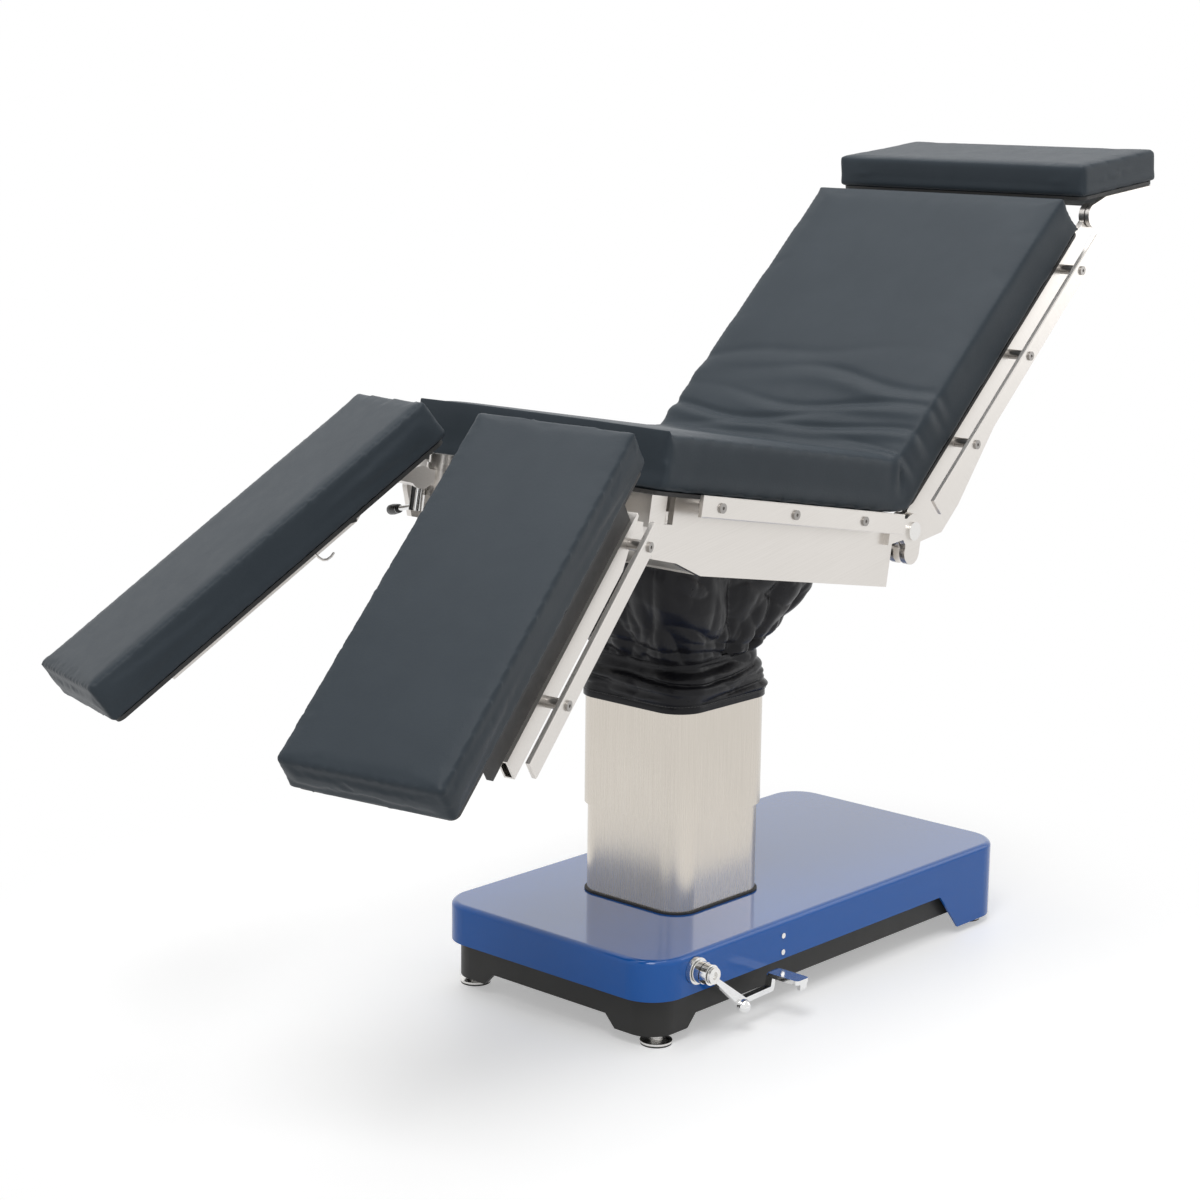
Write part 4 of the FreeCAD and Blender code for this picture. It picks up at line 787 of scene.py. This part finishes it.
thread = {"Count": 10, "Pitch": 0.0022, "Radius": 0.0100, "Depth": 0.0007}
feet = {"x": (-0.2546, 0.5694), "y": (-0.1935, 0.1935), "z": 0.0105}
threads = Repeat("spindle threads", thread)
rise = threads.add("ShaderNodeCombineXYZ", None, {"Z": threads.size("Pitch")})
line = threads.add("GeometryNodeMeshLine", None, {"Count": threads.size("Count"), "Offset": rise})
turnPath = threads.add("GeometryNodeCurvePrimitiveCircle", None,
                       {"Resolution": 32, "Radius": threads.size("Radius")})
ridge = threads.add("GeometryNodeCurvePrimitiveCircle", None,
                    {"Resolution": 6, "Radius": threads.size("Depth")})
ring = threads.add("GeometryNodeCurveToMesh", None, {"Curve": turnPath, "Profile Curve": ridge})
stack = threads.add("GeometryNodeInstanceOnPoints", None, {"Points": line, "Instance": ring})
spread = threads.add("GeometryNodeInstanceOnPoints", None, {"Points": threads.source(), "Instance": stack})
threads.close(spread, "bright")
starts = bpy.data.meshes.new("spindle_threads")
starts.from_pydata([(x, y, feet["z"]) for x in feet["x"] for y in feet["y"]], [], [])
spindleThreads = threads.run("spindle_threads", starts, "bright")
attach(spindleThreads, "base")

stitch = {"Pitch": 0.0052, "Length": 0.0036, "Radius": 0.00055}
hem = {"z": 0.4815, "out": 0.0012, "around": 120}
stitches = Repeat("hem stitches", stitch)
seam = stitches.add("GeometryNodeMeshToCurve", None, {"Mesh": stitches.source()})
evenly = stitches.add("GeometryNodeResampleCurve", {"mode": "LENGTH"},
                      {"Curve": seam, "Length": stitches.size("Pitch")})
bead = stitches.add("GeometryNodeMeshCylinder", None,
                    {"Vertices": 8, "Radius": stitches.size("Radius"), "Depth": stitches.size("Length")})
tangent = stitches.add("GeometryNodeInputTangent")
facing = stitches.add("FunctionNodeAlignRotationToVector", {"axis": "Z"}, {"Vector": tangent})
sewn = stitches.add("GeometryNodeInstanceOnPoints", None,
                    {"Points": evenly, "Instance": bead, "Rotation": facing})
stitches.close(sewn, "thread")
hemPath = bpy.data.meshes.new("bellows_hem_stitches")
ringPoints = []
for i in range(hem["around"]):
    spot, way = roundedPoint(i / hem["around"], boot["rim"][0], boot["rim"][1], boot["corner"])
    ringPoints.append(tuple(spot + way * hem["out"] + Vector((0, 0, hem["z"]))))
hemPath.from_pydata(ringPoints, [(i, (i + 1) % hem["around"]) for i in range(hem["around"])], [])
hemStitches = stitches.run("bellows_hem_stitches", hemPath, "thread")
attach(hemStitches, "column_upper")
print("fittings done:", len(spindleThreads.data.polygons), "thread faces,", len(hemStitches.data.polygons),
      "stitch faces")

# studio

camera = {"place": (-3.069, -2.621, 1.454), "azimuth": 42.21, "down": 11.68, "roll": 0.67, "lens": 77.64,
          "sensor": 36.0, "farthest": 60.0}


def aimed(azimuth, down, roll):
    a, p, r = math.radians(azimuth), math.radians(down), math.radians(roll)
    ahead = Vector((math.cos(a) * math.cos(p), math.sin(a) * math.cos(p), -math.sin(p)))
    right = Vector((math.sin(a), -math.cos(a), 0))
    up = right.cross(ahead)
    side = right * math.cos(r) + up * math.sin(r)
    rise = up * math.cos(r) - right * math.sin(r)
    return Matrix((side, rise, -ahead)).transposed()


view = bpy.data.cameras.new("photo camera")
view.lens = camera["lens"]
view.sensor_width = camera["sensor"]
view.clip_end = camera["farthest"]
viewer = bpy.data.objects.new("photo camera", view)
viewer.matrix_world = Matrix.Translation(camera["place"]) @ aimed(
    camera["azimuth"], camera["down"], camera["roll"]).to_4x4()
scene.collection.objects.link(viewer)
scene.camera = viewer


# lift is a faint glow of the floor; between the two clear radii the floor turns to plain white
floorLook = {"half": 14.0, "colour": (0.86, 0.86, 0.86, 1), "lift": 0.38, "clear": (0.7, 1.25),
             "rough": 0.5, "specular": 0.2}


def floorPlane(work):
    bmesh.ops.create_grid(work, x_segments=1, y_segments=1, size=floorLook["half"])


floorPaint = Paint("studio floor", Roughness=floorLook["rough"], Specular_IOR_Level=floorLook["specular"])
floorPaint.skin.inputs["Base Color"].default_value = floorLook["colour"]
distance = floorPaint.add("ShaderNodeVectorMath", {"operation": "LENGTH"}, {0: floorPaint.place()}, 1)
away = floorPaint.add("ShaderNodeMapRange", {"interpolation_type": "SMOOTHSTEP"},
                      {"Value": distance, "From Min": floorLook["clear"][0],
                       "From Max": floorLook["clear"][1]})
glow = floorPaint.add("ShaderNodeEmission", None, {"Strength": floorLook["lift"]})
white = floorPaint.add("ShaderNodeEmission", None, {"Strength": 1.0})
plain = Wire(floorPaint, floorPaint.skin.outputs[0])
lit = floorPaint.add("ShaderNodeAddShader", None, {0: plain, 1: glow})
shown = floorPaint.add("ShaderNodeMixShader", None, {0: away, 1: lit, 2: white})
toCamera = floorPaint.add("ShaderNodeLightPath", out="Is Camera Ray")
toGloss = floorPaint.add("ShaderNodeLightPath", out="Is Glossy Ray")
either = floorPaint.add("ShaderNodeMath", {"operation": "MAXIMUM"}, {0: toCamera, 1: toGloss})
seen = floorPaint.add("ShaderNodeMixShader", None, {0: either, 1: plain, 2: shown})
floorPaint.tree.links.new(seen.socket, floorPaint.tree.nodes["Material Output"].inputs["Surface"])
finish["floor"] = floorPaint.material
floor = piece("studio_floor", meshFrom("studio_floor", floorPlane), "floor", False)

lamps = {"key": {"place": (-2.4, -1.6, 4.4), "aim": (0.1, 0, 0.7), "size": (2.0, 2.0), "watts": 84},
         "over": {"place": (0.2, 0.4, 3.6), "aim": (0, 0, 0.6), "size": (2.6, 2.6), "watts": 48},
         "fill": {"place": (3.4, -2.2, 1.8), "aim": (0, 0, 0.6), "size": (1.8, 2.2), "watts": 14}}
for name, lamp in lamps.items():
    data = bpy.data.lights.new(name, "AREA")
    data.shape = "RECTANGLE"
    data.size, data.size_y = lamp["size"]
    data.energy = lamp["watts"]
    made = bpy.data.objects.new(name, data)
    made.location = lamp["place"]
    aim = Vector(lamp["aim"]) - Vector(lamp["place"])
    made.rotation_euler = aim.to_track_quat("-Z", "Y").to_euler()
    scene.collection.objects.link(made)

# the sky is white where it is seen, in metal and through glass too, and dimmer as a light
skyLook = {"seen": 1.0, "light": 0.38}
world = bpy.data.worlds.new("studio")
scene.world = world
world.use_nodes = True
sky = Nodes(world.node_tree)
background = sky.tree.nodes["Background"]
background.inputs["Color"].default_value = (1, 1, 1, 1)
background.inputs["Strength"].default_value = skyLook["seen"]
dim = sky.add("ShaderNodeBackground", None, {"Strength": skyLook["light"]})
rays = [sky.add("ShaderNodeLightPath", out="Is %s Ray" % kind)
        for kind in ("Camera", "Glossy", "Transmission")]
direct = sky.add("ShaderNodeMath", {"operation": "MAXIMUM"}, {0: rays[0], 1: rays[1]})
clear = sky.add("ShaderNodeMath", {"operation": "MAXIMUM"}, {0: direct, 1: rays[2]})
mixed = sky.add("ShaderNodeMixShader", None, {0: clear, 1: dim, 2: Wire(sky, background.outputs[0])})
sky.tree.links.new(mixed.socket, sky.tree.nodes["World Output"].inputs[0])
scene.view_settings.view_transform = "Standard"
print("studio done")
